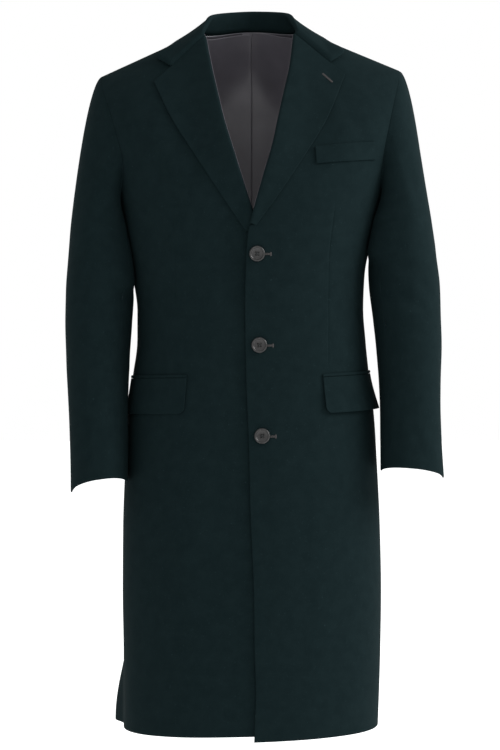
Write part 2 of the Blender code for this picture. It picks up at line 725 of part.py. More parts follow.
def collar_row(place, side):
    """One section of the collar: up its stand, over the crest and down its fall."""
    values = [float(curve(COLLAR, k, place)) for k in range(1, 7)]
    seam, crest, edge = neck_seam(place, side), np.array(values[:3]), np.array(values[3:])
    across = unit((edge - crest) * np.array([1, 1, 0]))
    turn = np.linspace(math.pi, 0, FOLD_STEPS)
    arch = (crest + across * ROLL_RADIUS + np.outer(np.cos(turn) * ROLL_RADIUS, across)
            + np.outer(np.sin(turn) * ROLL_RADIUS - ROLL_RADIUS, [0, 0, 1]))
    stand = seam + (arch[0] - seam) * np.array([0, 0.5])[:, None]
    last = arch[-1]
    share = np.linspace(0, 1, 7)[1:, None]
    control = last + (edge - last) * FALL_BEND_SHARE + np.array([0, 0, FALL_RISE]) + across * FALL_PUFF
    fall = last * (1 - share) ** 2 + control * 2 * share * (1 - share) + edge * share ** 2
    row = np.concatenate([stand, arch, fall])
    turned = ease(place / GORGE_TURN)
    if turned < 1:
        flat = gorge_row(side, leaned=False) * np.array([side, 1, 1])
        middle = len(stand) + len(arch) // 2
        flat = flat + (row[middle] - flat[middle])
        row = flat * (1 - turned) + row * turned
    first = len(row) - len(fall)
    row[first:] = keep_off_body(row[first:], COLLAR_CLOTH + REST_GAP)
    return lean(row * np.array([side, 1, 1]))


def collar():
    """The collar, from gorge to gorge round the back of the neck."""
    ahead = np.linspace(0, SHOULDER_PLACE, STATIONS_TO_SHOULDER)
    places = np.concatenate([ahead, np.linspace(SHOULDER_PLACE, 1, NECK_COLUMNS + 1)[1:]])
    right = [gorge_row(-1)] + [collar_row(place, -1) for place in places[1:]]
    left = [collar_row(place, 1) for place in places[-2:0:-1]] + [gorge_row(1)]
    mid = np.array(right + left).transpose(1, 0, 2)
    normal = grid_normals(mid)
    normal[:, 0] = gorge_normals(-1, mid[:, 0], len(mid) - 2)
    normal[:, -1] = gorge_normals(1, mid[:, -1], len(mid) - 2)
    thicken("collar", mid, normal, COLLAR_CLOTH)


def body_distance(y, z, side):
    """Distance of the body's side from the middle plane at a depth and height."""
    depth = np.where(y < 0, curve(BODY, 3, z), curve(BODY, 4, z))
    share = np.clip(np.abs(y) / depth, 0, 1)
    return half_width(side, z) * (1 - share ** SQUARENESS) ** (1 / SQUARENESS)


def sleeve_clearance(z):
    """How far a sleeve keeps off the body's side, more where it hangs over the pocket."""
    mouth = POCKET_MOUTH["left"]
    over = ease((mouth + 0.03 - z) / 0.03) * ease((z - mouth + FLAP_DROP + 0.04) / 0.03)
    return SLEEVE_CLEARANCE + SLEEVE_CLEARANCE_AT_POCKET * over


def sleeve(side):
    """A sleeve of two pieces, from its armhole over the shoulder and down to its open cuff."""
    table = LEFT_SLEEVE if side > 0 else RIGHT_SLEEVE
    slim = CAP_SLIM_LEFT if side > 0 else CAP_SLIM_RIGHT
    swell_top, swell_low, swell = SWELL_LEFT if side > 0 else SWELL_RIGHT
    around = 2 * (ARMHOLE_ROWS - 1)
    turn = math.pi - np.arange(around) * 2 * math.pi / around
    front_x, front_z = armhole_edge(side, -1)
    back_x, back_z = armhole_edge(side, 1)
    edge, cloth = [], []
    for face, x, z in ((-1, front_x, front_z), (1, back_x, back_z)):
        angle = angle_at(side * x, z)
        skin = on_body(angle, z, face)
        edge.append(skin)
        cloth.append(on_body(angle, z, face, 1.0) - skin)
    start = unlean(np.concatenate([edge[0], edge[1][-2:0:-1]]))
    cloth = np.concatenate([cloth[0], cloth[1][-2:0:-1]])

    def ring(height):
        mid_x, mid_y, half_x, half_y, rise = (curve(table, k, height) for k in range(1, 6))
        x = mid_x + half_x * signed_power(np.cos(turn), 2 / SLEEVE_SQUARENESS)
        inward = swell * ease((swell_top - height) / SWELL_FADE) * ease((height - swell_low) / SWELL_FADE)
        x = x - 2 * inward * np.maximum(-np.cos(turn), 0) * np.maximum(np.sin(turn), 0)
        y = mid_y - half_y * signed_power(np.sin(turn), 2 / SLEEVE_SQUARENESS)
        z = height + rise * np.abs(np.sin(turn)) - rise * CUFF_OUTER_DROP * np.cos(turn)
        return np.stack([side * x, y, z], axis=-1)

    first = ring(table[0][0])
    reach = np.linalg.norm(first - start, axis=-1, keepdims=True)
    leave = unit(np.stack([
        side * CAP_START[0] + 0 * turn,
        -CAP_START[1] * np.sin(turn),
        -CAP_START[2] - CAP_START_DROP * np.abs(np.sin(turn)),
    ], axis=-1))
    around_edge = np.roll(start, -1, axis=0) - np.roll(start, 1, axis=0)
    away = unit(np.cross(cloth, around_edge))
    away = away * np.sign(away[0, 2])
    start = start + away * SEAM
    rows = []
    outside = np.maximum(np.cos(turn), 0)
    for t in np.linspace(0, 1, CAP_ROWS) ** CAP_ROW_EASE:
        row = (start * (1 + 2 * t) * (1 - t) ** 2
               + leave * reach * CAP_START_REACH * t * (1 - t) ** 2
               + first * t * t * (3 - 2 * t)
               + np.array([0, 0, 1]) * reach * CAP_END_REACH * t * t * (1 - t))
        row[:, 0] -= side * slim * math.sin(math.pi * t ** CAP_SLIM_EASE) * outside
        rows.append(row)
    rows += [ring(row[0]) for row in table[1:]]
    grid = np.array(rows)[::-1]

    wide = body_distance(grid[..., 1], grid[..., 2], side) + sleeve_clearance(grid[..., 2])
    wide = np.where(grid[..., 2] < SLEEVE_MEETS_SIDE, wide, 0)
    wide[-1] = 0
    grid[..., 0] = side * np.maximum(side * grid[..., 0], wide)
    grid = lean(grid)

    across = np.roll(grid, -1, axis=1) - np.roll(grid, 1, axis=1)
    along = np.gradient(grid, axis=0)
    along[-1] = -leave
    normal = side * unit(np.cross(across, along))
    forearm = FOREARM_SEAM_ROW
    hindarm = around - HINDARM_SEAM_ROW
    pieces = {
        "top_sleeve": list(range(forearm, hindarm + 1)),
        "under_sleeve": list(range(hindarm, around)) + list(range(forearm + 1)),
    }
    for name, columns in pieces.items():
        outer = grid[:, columns].copy()
        inward = normal[:, columns] * SLEEVE_CLOTH
        inner = outer - inward
        for grid_part in (outer, inner):
            grid_part[:, 0] += unit(grid_part[:, 1] - grid_part[:, 0]) * SEAM / 2
            grid_part[:, -1] += unit(grid_part[:, -2] - grid_part[:, -1]) * SEAM / 2
        name = name + ("_left" if side > 0 else "_right")
        wall(name, turn_for_side(outer, side), turn_for_side(inner, side), WOOL)


def pocket(side):
    """A pocket's flap, and the narrow jet above it that edges the mouth."""
    name = "left" if side > 0 else "right"
    mouth = POCKET_MOUTH[name]
    inner_angle = float(np.abs(angle_at(side * POCKET_INNER[name], mouth)))
    edge = float(front_edge(side, mouth))
    width = float(half_width(side, mouth))
    columns = np.arcsin(np.clip((edge + (width - edge) * across_shares(FRONT_COLUMNS)) / width, 0, 1)
                        ** (SQUARENESS / 2))
    columns = columns[(columns > inner_angle + FLAP_CORNER_ANGLES[-1]) & (columns < POCKET_END_ANGLE)]
    angle = np.concatenate([inner_angle + np.array(FLAP_CORNER_ANGLES), columns, [POCKET_END_ANGLE]])
    place = on_body(side * angle, mouth, -1)
    run = np.concatenate([[0], np.cumsum(np.linalg.norm(np.diff(place, axis=0), axis=1))])
    from_corner = np.clip(FLAP_CORNER - run, 0, None)
    rise = FLAP_CORNER - np.sqrt(FLAP_CORNER ** 2 - from_corner ** 2)
    down = np.array([1.0, 0.75, 0.5, 0.25, 0.0])[:, None]
    high, low = POCKET_SLANT[name]
    mouth = mouth + high - (high + low) * (1 - run / run[-1])
    z = mouth - down * (FLAP_DROP - rise[None, :])
    angles = side * angle[None, :] + 0 * z
    along = FLAP_INNER_SHARE + (1 - FLAP_INNER_SHARE) * run / run[-1]
    off = POCKET_GAP + FLAP_STANDS_OFF[name] * down ** FLAP_CURL * along
    outer = on_body(angles, z, -1, off + POCKET_CLOTH)
    inner = on_body(angles, z, -1, off)
    wall("pocket_flap_" + name, turn_for_side(outer, side), turn_for_side(inner, side), WOOL)
    z = mouth + SEAM + np.array([0, JET_HEIGHT])[:, None]
    angles = side * angle[None, :] + 0 * z
    outer = on_body(angles, z, -1, POCKET_GAP + POCKET_CLOTH + 0 * z)
    inner = on_body(angles, z, -1, POCKET_GAP + 0 * z)
    wall("pocket_jet_" + name, turn_for_side(outer, side), turn_for_side(inner, side), WOOL)


def breast_welt():
    """The strip that edges the breast pocket on the left front."""
    top_in, top_out, low_out, low_in = (np.array(point) for point in WELT)
    u = np.linspace(0, 1, 6)[None, :, None]
    v = np.linspace(0, 1, 3)[:, None, None]
    low = low_in + (low_out - low_in) * u
    top = top_in + (top_out - top_in) * u
    place = low + (top - low) * v
    x, z = place[..., 0], place[..., 1]
    outer = on_front(x, z, WELT_GAP + POCKET_CLOTH + 0 * x)
    inner = on_front(x, z, WELT_GAP + 0 * x)
    wall("breast_welt", outer, inner, WOOL)


def button(name, x, z):
    """A dished button with a raised rim, turned from its profile, on the left front."""
    radius = BUTTON_DIAMETER / 2
    # share of the radius, share of the thickness
    profile = ((0.52, 0.62), (0.70, 0.86), (0.86, 1.00), (0.97, 0.86), (1.00, 0.55), (0.86, 0.12),
               (0.50, 0.0))
    turn = np.linspace(0, 2 * math.pi, BUTTON_FACETS, endpoint=False)
    centre = on_front(x, z, BUTTON_GAP)
    outward = unit(on_front(x, z, 1.0) - on_front(x, z, 0.0))
    right = unit(np.cross([0, 0, 1], outward)) * -1
    up = np.cross(right, outward) * -1
    vertices = [centre + outward * BUTTON_THICKNESS * profile[0][1]]
    for share, level in profile:
        ring = np.outer(np.cos(turn), right) + np.outer(np.sin(turn), up)
        vertices.extend(centre + ring * radius * share + outward * BUTTON_THICKNESS * level)
    vertices.append(centre)
    last = len(vertices) - 1
    faces = []
    for j in range(BUTTON_FACETS):
        k = (j + 1) % BUTTON_FACETS
        faces.append((0, 1 + j, 1 + k))
        for i in range(len(profile) - 1):
            a, b = 1 + i * BUTTON_FACETS, 1 + (i + 1) * BUTTON_FACETS
            faces.append((a + j, b + j, b + k, a + k))
        faces.append((last - BUTTON_FACETS + k, last - BUTTON_FACETS + j, last))
    make_object("button_" + name, vertices, faces, HORN, 0.45)


def back_lining():
    """The lining where it shows inside the back, with a pleat folded down the middle."""
    step = LINING_CLOTH + PLEAT_GAP
    bend = np.linspace(math.pi / 2, -math.pi / 2, 4)
    flat = np.linspace(-LINING_HALF_WIDTH, -PLEAT_FLAT, 6)
    wide = np.linspace(PLEAT_FLAT + LINING_RISE / 3, LINING_HALF_WIDTH, 6)
    fold = PLEAT_EDGE + step / 2 * np.cos(bend)
    back_fold = PLEAT_EDGE - PLEAT_DEPTH - step / 2 * np.cos(bend)
    # Distance from the middle, and how far it lies outwards of the innermost layer
    path = np.concatenate([
        np.stack([flat, 0 * flat], axis=1),
        np.stack([fold, step / 2 * (1 - np.sin(bend))], axis=1),
        np.stack([back_fold, step / 2 * (3 - np.sin(bend))], axis=1),
        [(0, 2 * step), (PLEAT_FLAT, 2 * step)],
        np.stack([wide, 2 * step * (1 - ease((wide - PLEAT_FLAT) / LINING_RISE))], axis=1),
    ])
    low, share = back_rows()
    low = low[low > LINING_FOOT]
    x = path[:, 0] + np.zeros((len(low) + len(share), 1))
    level = path[:, 1] + 0 * x
    past_neck = ease((np.abs(x) - NECK_POINT) / LINING_EASES_OFF) * LINING_BELOW_SHOULDER
    short = np.linspace(0, 1, len(x))[:, None] ** 2 * (LINING_BELOW_NECK + past_neck)
    z = back_heights(np.abs(x), low, share) - short
    depth = BODY_CLOTH + LINING_GAP + LINING_CLOTH / 2 + 2 * step - level
    mid = on_body(angle_at(x, z), z, 1, -depth)
    normal = grid_normals(mid)
    outer = mid + normal * LINING_CLOTH / 2
    inner = mid - normal * LINING_CLOTH / 2
    wall("back_lining", outer, inner, SATIN, 0.5)


def main():
    for thing in list(bpy.data.objects):
        bpy.data.objects.remove(thing, do_unlink=True)
    for side in (1, -1):
        front_panel(side)
        back_panel(side)
        lapel(side)
        sleeve(side)
        pocket(side)
    collar()
    breast_welt()
    back_lining()
    for name, (x, z) in BUTTONS.items():
        button(name, x, z)


main()
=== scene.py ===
# %% [markdown]
# # A topcoat, filled out as it is worn
# The coat hangs on a wearer who isn't there: a hollow body, two sleeves, a turned-down collar and
# two lapels, three buttons, two flap pockets and a breast welt. The solid model gives its true
# size. Here each solid gets a finer cloth in its place: thin sheets with rounded edges, seams
# that sink in, soft creases, and wool, satin and horn to look at. Everything is in metres, +Z is
# up and the wearer looks along -Y, so the wearer's left is at +X, on the right of the picture.

# %% Load the solid model
import math

import bpy
import numpy as np
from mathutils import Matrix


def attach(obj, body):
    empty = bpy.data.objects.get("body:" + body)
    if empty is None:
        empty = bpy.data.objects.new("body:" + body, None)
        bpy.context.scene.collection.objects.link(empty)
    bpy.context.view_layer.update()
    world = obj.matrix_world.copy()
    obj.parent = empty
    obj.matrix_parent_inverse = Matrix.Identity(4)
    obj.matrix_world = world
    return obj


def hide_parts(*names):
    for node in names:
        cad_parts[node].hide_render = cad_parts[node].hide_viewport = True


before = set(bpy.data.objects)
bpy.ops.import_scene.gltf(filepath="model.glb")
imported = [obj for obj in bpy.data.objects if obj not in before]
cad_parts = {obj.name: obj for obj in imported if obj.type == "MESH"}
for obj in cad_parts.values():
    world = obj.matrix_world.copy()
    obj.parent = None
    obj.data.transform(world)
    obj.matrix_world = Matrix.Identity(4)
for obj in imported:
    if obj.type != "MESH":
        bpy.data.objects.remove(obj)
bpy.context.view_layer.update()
print("nodes in the solid model:", len(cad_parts))

# %% [markdown]
# ## Reading short tables
# A tailor's chart gives a measure at a few heights, and the cutter draws a smooth line through
# them. `curve` does the same: it passes through each row and never swings past one, so a table
# of a dozen rows is enough for a whole body. The helpers below it are small bits of geometry.

# %% Smooth curves and small helpers


def curve(table, column, at):
    """Read a table's column at any first value: a cubic between rows, with harmonic-mean slopes."""
    rows = np.array(sorted(table), float)
    keys, values = rows[:, 0], rows[:, column]
    steps = np.diff(values) / np.diff(keys)
    before, after = steps[:-1], steps[1:]
    same_way = before * after > 0
    mean = 2 * before * after / np.where(same_way, before + after, 1)
    slopes = np.concatenate([steps[:1], np.where(same_way, mean, 0), steps[-1:]])
    at = np.clip(at, keys[0], keys[-1])
    k = np.clip(np.searchsorted(keys, at) - 1, 0, len(keys) - 2)
    span = keys[k + 1] - keys[k]
    t = (at - keys[k]) / span
    low = values[k] * (1 + 2 * t) * (1 - t) ** 2 + slopes[k] * span * t * (1 - t) ** 2
    high = values[k + 1] * t * t * (3 - 2 * t) + slopes[k + 1] * span * t * t * (t - 1)
    return low + high


def signed_power(value, power):
    """The size of a value raised to a power, with the value's sign."""
    return np.sign(value) * np.abs(value) ** power


def ease(value):
    """A smooth step: 3 v squared minus 2 v cubed, from 0 to 1 and level at both ends."""
    value = np.clip(value, 0, 1)
    return value * value * (3 - 2 * value)


def unit(vectors):
    """Vectors divided by their own length."""
    return vectors / np.linalg.norm(vectors, axis=-1, keepdims=True)


def grid_normals(grid):
    """Normals of a grid of points: its direction across the columns times that along the rows."""
    return unit(np.cross(np.gradient(grid, axis=1), np.gradient(grid, axis=0)))


# %% [markdown]
# ## The form of the body
# A coat is cut to stand off the body in one smooth form. Each height has a squared oval for its
# section, wider or deeper as the chart says, and towards the shoulders the depth closes over to
# the shoulder line like an arch. One formula makes the fronts, the backs and all that lies on
# them, so they fit without any fitting.

# %% Charts of the body
BODY_CLOTH = 0.0024
SLEEVE_CLOTH = 0.0022
LAPEL_CLOTH = 0.0024
COLLAR_CLOTH = 0.0024
POCKET_CLOTH = 0.0020
LINING_CLOTH = 0.0010
SEAM = -0.0005

HEM_SIDE = {1: -1.059, -1: -1.063}
HEM_SLANT = 4
HEM_FRONT = {1: -1.066, -1: -1.057}
HEM_BACK = -1.066
UNDERARM = -0.247
BREAK = {1: -0.294, -1: -0.316}

SQUARENESS = 2.4
# height, half width at the wearer's right, half width at the left, front depth, back depth
BODY = (
    (-1.070, 0.1985, 0.2005, 0.158, 0.150),
    (-0.950, 0.1985, 0.2045, 0.154, 0.147),
    (-0.850, 0.2000, 0.2060, 0.150, 0.143),
    (-0.750, 0.1995, 0.2040, 0.145, 0.137),
    (-0.650, 0.1960, 0.1993, 0.140, 0.130),
    (-0.580, 0.1925, 0.1950, 0.137, 0.124),
    (-0.510, 0.1840, 0.1865, 0.134, 0.114),
    (-0.460, 0.1775, 0.1815, 0.132, 0.107),
    (-0.410, 0.1770, 0.1780, 0.132, 0.103),
    (-0.360, 0.1830, 0.1800, 0.134, 0.106),
    (-0.300, 0.1940, 0.1920, 0.138, 0.114),
    (-0.247, 0.2040, 0.2060, 0.140, 0.122),
    (-0.180, 0.2210, 0.2250, 0.136, 0.127),
    (-0.110, 0.2360, 0.2390, 0.128, 0.126),
    (-0.050, 0.2490, 0.2500, 0.120, 0.120),
    (0.070, 0.2560, 0.2560, 0.110, 0.112),
)
NECK_POINT = 0.082
NECK_ROUNDING = 0.050
SHOULDER_AT_MIDDLE = 0.0655
SHOULDER_SLOPE = 0.435
SHOULDER_SEAM_Y = 0.008
# distance from the middle, reach of the shoulder's arch at the front, at the back
SHOULDER_REACH = (
    (0.000, 0.260, 0.105),
    (0.080, 0.255, 0.150),
    (0.150, 0.180, 0.130),
    (0.240, 0.085, 0.085),
)
FRONT_ROUNDING = 1.45
BACK_ROUNDING = 2.0
LEAN = 0.0213
LEAN_FADES_FROM = -0.25
LEAN_GONE_AT = -1.05
FLARE = 0.031
FLARE_FROM = -0.925
FLARE_FULL_AT = -1.063
FLARE_WIDTH = math.radians(52)

# %% The body's surface


def shoulder_height(x):
    """Height of the shoulder line: a straight slope, rounded to a parabola behind the neck."""
    away = np.abs(x)
    rounded = (NECK_ROUNDING + away ** 2 / NECK_ROUNDING) / 2
    return SHOULDER_AT_MIDDLE - SHOULDER_SLOPE * np.where(away < NECK_ROUNDING, rounded, away)


def half_width(x, z):
    """Half the body's width at a height, on the side that x lies on."""
    return np.where(np.asarray(x) < 0, curve(BODY, 1, z), curve(BODY, 2, z))


def angle_at(x, z):
    """Angle round the oval, 0 in the middle and 90 degrees at the side."""
    share = np.clip(np.abs(x) / half_width(x, z), 0, 1)
    return np.sign(x) * np.arcsin(share ** (SQUARENESS / 2))


def lean(points):
    """Lift the left shoulder and lower the right one, less and less towards the hem."""
    fade = np.clip((points[..., 2] - LEAN_GONE_AT) / (LEAN_FADES_FROM - LEAN_GONE_AT), 0, 1)
    points = points.copy()
    points[..., 2] += LEAN * points[..., 0] * fade
    return points


def unlean(points):
    """Take the lean out again, close enough for small pieces."""
    return points * 2 - lean(points)


def body_skin(angle, z, face):
    """Outer face of the body, face -1 in front and +1 behind.

    Across, x is the half width times sin(angle) to the power 2 / squareness and y is the depth
    times cos(angle) to the same power. The depth is times an arch, 1 - (1 - below) ** rounding,
    where below is the way down from the shoulder line over the arch's reach.
    """
    front = face < 0
    x = half_width(angle, z) * signed_power(np.sin(angle), 2 / SQUARENESS)
    if not front:
        way = (FLARE_FROM - z) / (FLARE_FROM - FLARE_FULL_AT)
        low = np.sin(math.pi / 2 * np.clip(way, 0, 1))
        share = np.clip((math.pi / 2 + angle) / FLARE_WIDTH, 0, 1)
        x = x - np.where(angle < 0, FLARE * low * np.sin(math.pi * share) ** 2, 0)
    depth = curve(BODY, 3 if front else 4, z)
    reach = curve(SHOULDER_REACH, 1 if front else 2, np.abs(x))
    power = FRONT_ROUNDING if front else BACK_ROUNDING
    below = (shoulder_height(x) - z) / reach
    rest = np.clip(1 - np.abs(below), 0, 1)
    full = np.sign(below) * (1 - rest ** power) ** (1 / power)
    oval = face * depth * signed_power(np.cos(angle), 2 / SQUARENESS)
    y = SHOULDER_SEAM_Y * (1 - np.abs(full)) + oval * full
    return lean(np.stack([x, y, z + 0 * x], axis=-1))


def body_normal(angle, z, face):
    """Outward direction of the body's surface, from two small steps over it."""
    step = 1e-5
    across = body_skin(angle + step, z, face) - body_skin(angle - step, z, face)
    up = body_skin(angle, z + step, face) - body_skin(angle, z - step, face)
    return unit(-face * np.cross(across, up))


# %% [markdown]
# ## Creases placed one by one
# Heavy wool that hangs filled out is almost smooth, yet never perfectly so. Each crease below is
# one long soft trough or ridge: a bell across it, fading at both ends, a little bent. They are
# uneven in length, depth and spacing, deepest near the seat, the waist and the vent behind, and
# hardly there in front, as in the photograph. Everything on a panel uses the same creases.

# %% Charts of the creases
# x, height, tilt from upright in degrees, half length, half width, depth inwards, bend
FRONT_CREASES = (
    (0.075, -0.800, 3.0, 0.210, 0.0300, 0.0012, 0.10),
    (0.130, -0.930, -4.0, 0.170, 0.0260, 0.0014, -0.15),
    (-0.060, -0.850, -2.0, 0.240, 0.0320, 0.0013, 0.10),
    (-0.135, -0.900, 5.0, 0.190, 0.0260, 0.0012, 0.12),
    (0.092, -0.390, 68.0, 0.080, 0.0130, 0.0009, 0.60),
    (-0.080, -0.350, -64.0, 0.085, 0.0150, 0.0009, -0.50),
    (0.110, -0.455, 78.0, 0.060, 0.0110, 0.0007, 0.90),
    (-0.120, -0.440, -80.0, 0.060, 0.0120, 0.0007, -0.80),
    (0.160, -0.120, 24.0, 0.085, 0.0120, 0.0012, 0.40),
    (-0.162, -0.125, -22.0, 0.090, 0.0130, 0.0012, -0.45),
    (0.055, -0.720, 4.0, 0.150, 0.0240, -0.0009, 0.00),
    (-0.105, -0.740, -4.0, 0.160, 0.0260, -0.0009, 0.10),
)
BACK_CREASES = (
    (0.060, -0.400, 72.0, 0.095, 0.0130, 0.0018, 0.50),
    (-0.055, -0.385, -76.0, 0.090, 0.0150, 0.0017, -0.60),
    (0.075, -0.440, 80.0, 0.080, 0.0110, 0.0014, 0.70),
    (-0.090, -0.450, -82.0, 0.075, 0.0120, 0.0013, -0.40),
    (0.150, -0.150, 20.0, 0.120, 0.0150, 0.0024, 0.35),
    (-0.152, -0.160, -18.0, 0.115, 0.0160, 0.0023, -0.35),
    (0.090, -0.820, 3.0, 0.230, 0.0300, 0.0024, 0.10),
    (-0.085, -0.860, -2.0, 0.210, 0.0330, 0.0022, -0.12),
    (0.140, -0.940, -3.0, 0.160, 0.0240, 0.0020, 0.15),
    (0.040, -0.700, 6.0, 0.110, 0.0200, -0.0012, 0.00),
    (-0.048, -0.010, 62.0, 0.060, 0.0140, 0.0010, 0.50),
    (0.046, -0.012, -60.0, 0.055, 0.0150, 0.0010, -0.50),
)


def crease_lift(table, x, z):
    """Lift of a surface by its creases, each a bell across times a soft window along it.

    The bell is exp(-(across / width) ** 2), the window exp(-(along / length) ** 4), and the
    line bends by bend times along squared.
    """
    lift = 0 * x
    for place_x, place_z, tilt, length, width, depth, bend in table:
        turn = math.radians(tilt)
        along = (z - place_z) * math.cos(turn) - (x - place_x) * math.sin(turn)
        across = (x - place_x) * math.cos(turn) + (z - place_z) * math.sin(turn) + bend * along ** 2
        lift = lift - depth * np.exp(-(across / width) ** 2 - (along / length) ** 4)
    return lift


def on_body(angle, z, face, lift=0.0):
    """A point that stands lift outside the body's outer face, creases and all, and its normal."""
    angle, z = np.broadcast_arrays(np.asarray(angle, float), np.asarray(z, float))
    skin = body_skin(angle, z, face)
    outward = body_normal(angle, z, face)
    creases = crease_lift(FRONT_CREASES if face < 0 else BACK_CREASES, skin[..., 0], z)
    return skin + outward * (np.asarray(lift) + creases)[..., None], outward


def on_front(x, z, lift=0.0):
    """A point over the front at a distance from the middle and a height."""
    return on_body(angle_at(x, z), z, -1, lift)[0]


# %% [markdown]
# ## A sheet of cloth
# A real panel is cut flat, with a face, a back and a cut edge. Where it is turned in for a seam
# its edge goes round and sinks, and that is what makes a seam visible. Here a panel is a grid of
# points on its outer face. The wall gets its full thickness a little way in and narrows to a
# third at the edge along a quarter circle, so two panels side by side leave a soft valley.
# A Solidify modifier can't narrow at the edge, so both faces are worked out directly.

# %% Sheets with rounded edges
EDGE_ROUND = 0.0013
EDGE_SHARE = 0.34
EDGE_LINES = (0.0, 0.00018, 0.00052, 0.00105, 0.0018)
EDGE_CLEAR = 1.5
SIDE_NAME = {1: "left", -1: "right"}


def with_edges(count, length):
    """Even shares from 0 to 1, with closer lines by both ends for the rounded edges."""
    near = np.array(EDGE_LINES) / length
    even = np.linspace(0, 1, count)
    even = even[(even > near[-1] * EDGE_CLEAR) & (even < 1 - near[-1] * EDGE_CLEAR)]
    return np.concatenate([near, even, 1 - near[::-1]])


def run_along(grid, axis):
    """Length run along a grid's rows or columns, from the first one."""
    steps = np.linalg.norm(np.diff(grid, axis=axis), axis=-1)
    return np.concatenate([0 * np.take(steps, [0], axis), np.cumsum(steps, axis=axis)], axis=axis)


def edge_share(grid):
    """Share of the thickness by a sheet's edges: a quarter circle over the width of the rounding."""
    across, up = run_along(grid, 1), run_along(grid, 0)
    nearest = np.minimum.reduce([across, across[:, -1:] - across, up, up[-1:] - up])
    rest = np.clip(1 - nearest / EDGE_ROUND, 0, 1)
    return EDGE_SHARE + (1 - EDGE_SHARE) * np.sqrt(1 - rest ** 2)


def grid_faces(rows, columns):
    """Four-sided faces of a grid, turned the way that its columns run right and its rows up."""
    number = np.arange(rows * columns).reshape(rows, columns)
    return np.stack([number[:-1, :-1], number[:-1, 1:], number[1:, 1:], number[1:, :-1]], -1)


def ring_faces(rows, columns, closed=False):
    """Four-sided faces of a grid whose columns close up, and whose rows do too if it is closed."""
    number = np.arange(rows * columns).reshape(rows, columns)
    beside, ahead = np.roll(number, -1, axis=1), np.roll(number, -1, axis=0)
    quads = np.stack([number, ahead, np.roll(ahead, -1, axis=1), beside], -1)
    return (quads if closed else quads[:-1]).reshape(-1, 4)


def put_mesh(name, points, faces, uv=None):
    """Make a smooth mesh object from points and faces, with places on its cut as UVs."""
    mesh = bpy.data.meshes.new(name)
    mesh.from_pydata(points.tolist(), [], [list(face) for face in faces])
    if uv is not None:
        layer = mesh.uv_layers.new(name="cut")
        layer.data.foreach_set("uv", uv[faces.reshape(-1)].reshape(-1))
    mesh.shade_smooth()
    thing = bpy.data.objects.new(name, mesh)
    bpy.context.scene.collection.objects.link(thing)
    return thing


def cloth(name, outer, normal, thickness, lined=None):
    """A closed sheet: the outer grid, an inner one behind it, and a rim that joins them.

    At a point with thickness share s the outer face lies thickness (1 - s) / 2 deeper and the
    inner one thickness (1 + s) / 2. Faces where lined is true take the second material inside.
    """
    rows, columns = outer.shape[:2]
    count = rows * columns
    share = edge_share(outer)[..., None]
    face = outer - normal * thickness * (1 - share) / 2
    back = outer - normal * thickness * (1 + share) / 2
    quads = grid_faces(rows, columns)
    number = np.arange(count).reshape(rows, columns)
    rim = np.concatenate([number[0, :-1], number[:-1, -1], number[-1, :0:-1], number[:0:-1, 0]])
    after = np.roll(rim, -1)
    sides = np.stack([rim, rim + count, after + count, after], -1)
    flat = quads.reshape(-1, 4)
    faces = np.concatenate([flat, flat[:, ::-1] + count, sides])
    points = np.concatenate([face.reshape(-1, 3), back.reshape(-1, 3)])
    uv = np.stack([run_along(outer, 1), run_along(outer, 0)], -1).reshape(-1, 2)
    thing = put_mesh(name, points, faces, np.concatenate([uv, uv]))
    inside = np.zeros(len(faces), int)
    if lined is not None:
        inside[len(flat):2 * len(flat)] = lined[:-1, :-1].reshape(-1)
    thing.data.polygons.foreach_set("material_index", inside)
    return thing


def turn_for_side(side, *grids):
    """Run the columns to the right as seen from outside, on either side of the coat."""
    return [grid if side > 0 else grid[:, ::-1] for grid in grids]


def cut_of(grid):
    """Width, length and area of the flat cut of a sheet, measured over its grid."""
    width = run_along(grid, 1)[:, -1].max()
    length = run_along(grid, 0)[-1].max()
    edge_a = np.cross(grid[1:, 1:] - grid[:-1, :-1], grid[1:, :-1] - grid[:-1, 1:])
    return width, length, np.linalg.norm(edge_a, axis=-1).sum() / 2


def dress(thing, node, materials):
    """Give a piece its finish, hang it from the root, and hide the solid of the part that it stands for, if
    any.
    """
    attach(thing, "root")
    if node:
        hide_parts(node)
    for material in materials:
        thing.data.materials.append(material)


def finish_cloth(thing, grid, node, materials):
    """Dress a sheet, and print the size and area of its flat cut and its number of faces."""
    width, length, area = cut_of(grid)
    area = min(area, width * length)
    dress(thing, node, materials)
    print("%s: cut %.3f x %.3f m, %.3f square metres, %d faces"
          % (thing.name, width, length, area, len(thing.data.polygons)))


# %% [markdown]
# ## Wool
# The cloth is a fine wool of a very dark green-teal, milled so that the weave hardly shows. Close
# to, it is made of lighter and darker fibres, and it drinks the light with only a faint bloom at
# grazing angles. So the colour is two close tones mixed by noise at fibre size, with a slow
# drift over the panel; the twill goes into a small bump on the cut's own UVs, in metres, so it
# follows the grain of each piece. Roughness and sheen are plain values on the shader.

# %% Node helpers


def new_material(name, **values):
    """A material, its tree and its Principled shader, with the shader's sockets set by name."""
    material = bpy.data.materials.new(name)
    material.use_nodes = True
    tree = material.node_tree
    shader = tree.nodes["Principled BSDF"]
    set_values(shader, values)
    return material, tree, shader


def set_values(node, values):
    """Set the properties of a node or a lamp, or a node's sockets, by name."""
    for key, value in values.items():
        if hasattr(node, key):
            setattr(node, key, value)
        else:
            node.inputs[key.replace("_", " ")].default_value = value


def add(tree, kind, **values):
    """A node with its properties or sockets set by name."""
    node = tree.nodes.new("ShaderNode" + kind)
    set_values(node, values)
    return node


def object_place(tree):
    """Coordinates in metres, fixed to the piece."""
    return add(tree, "TexCoord").outputs["Object"]


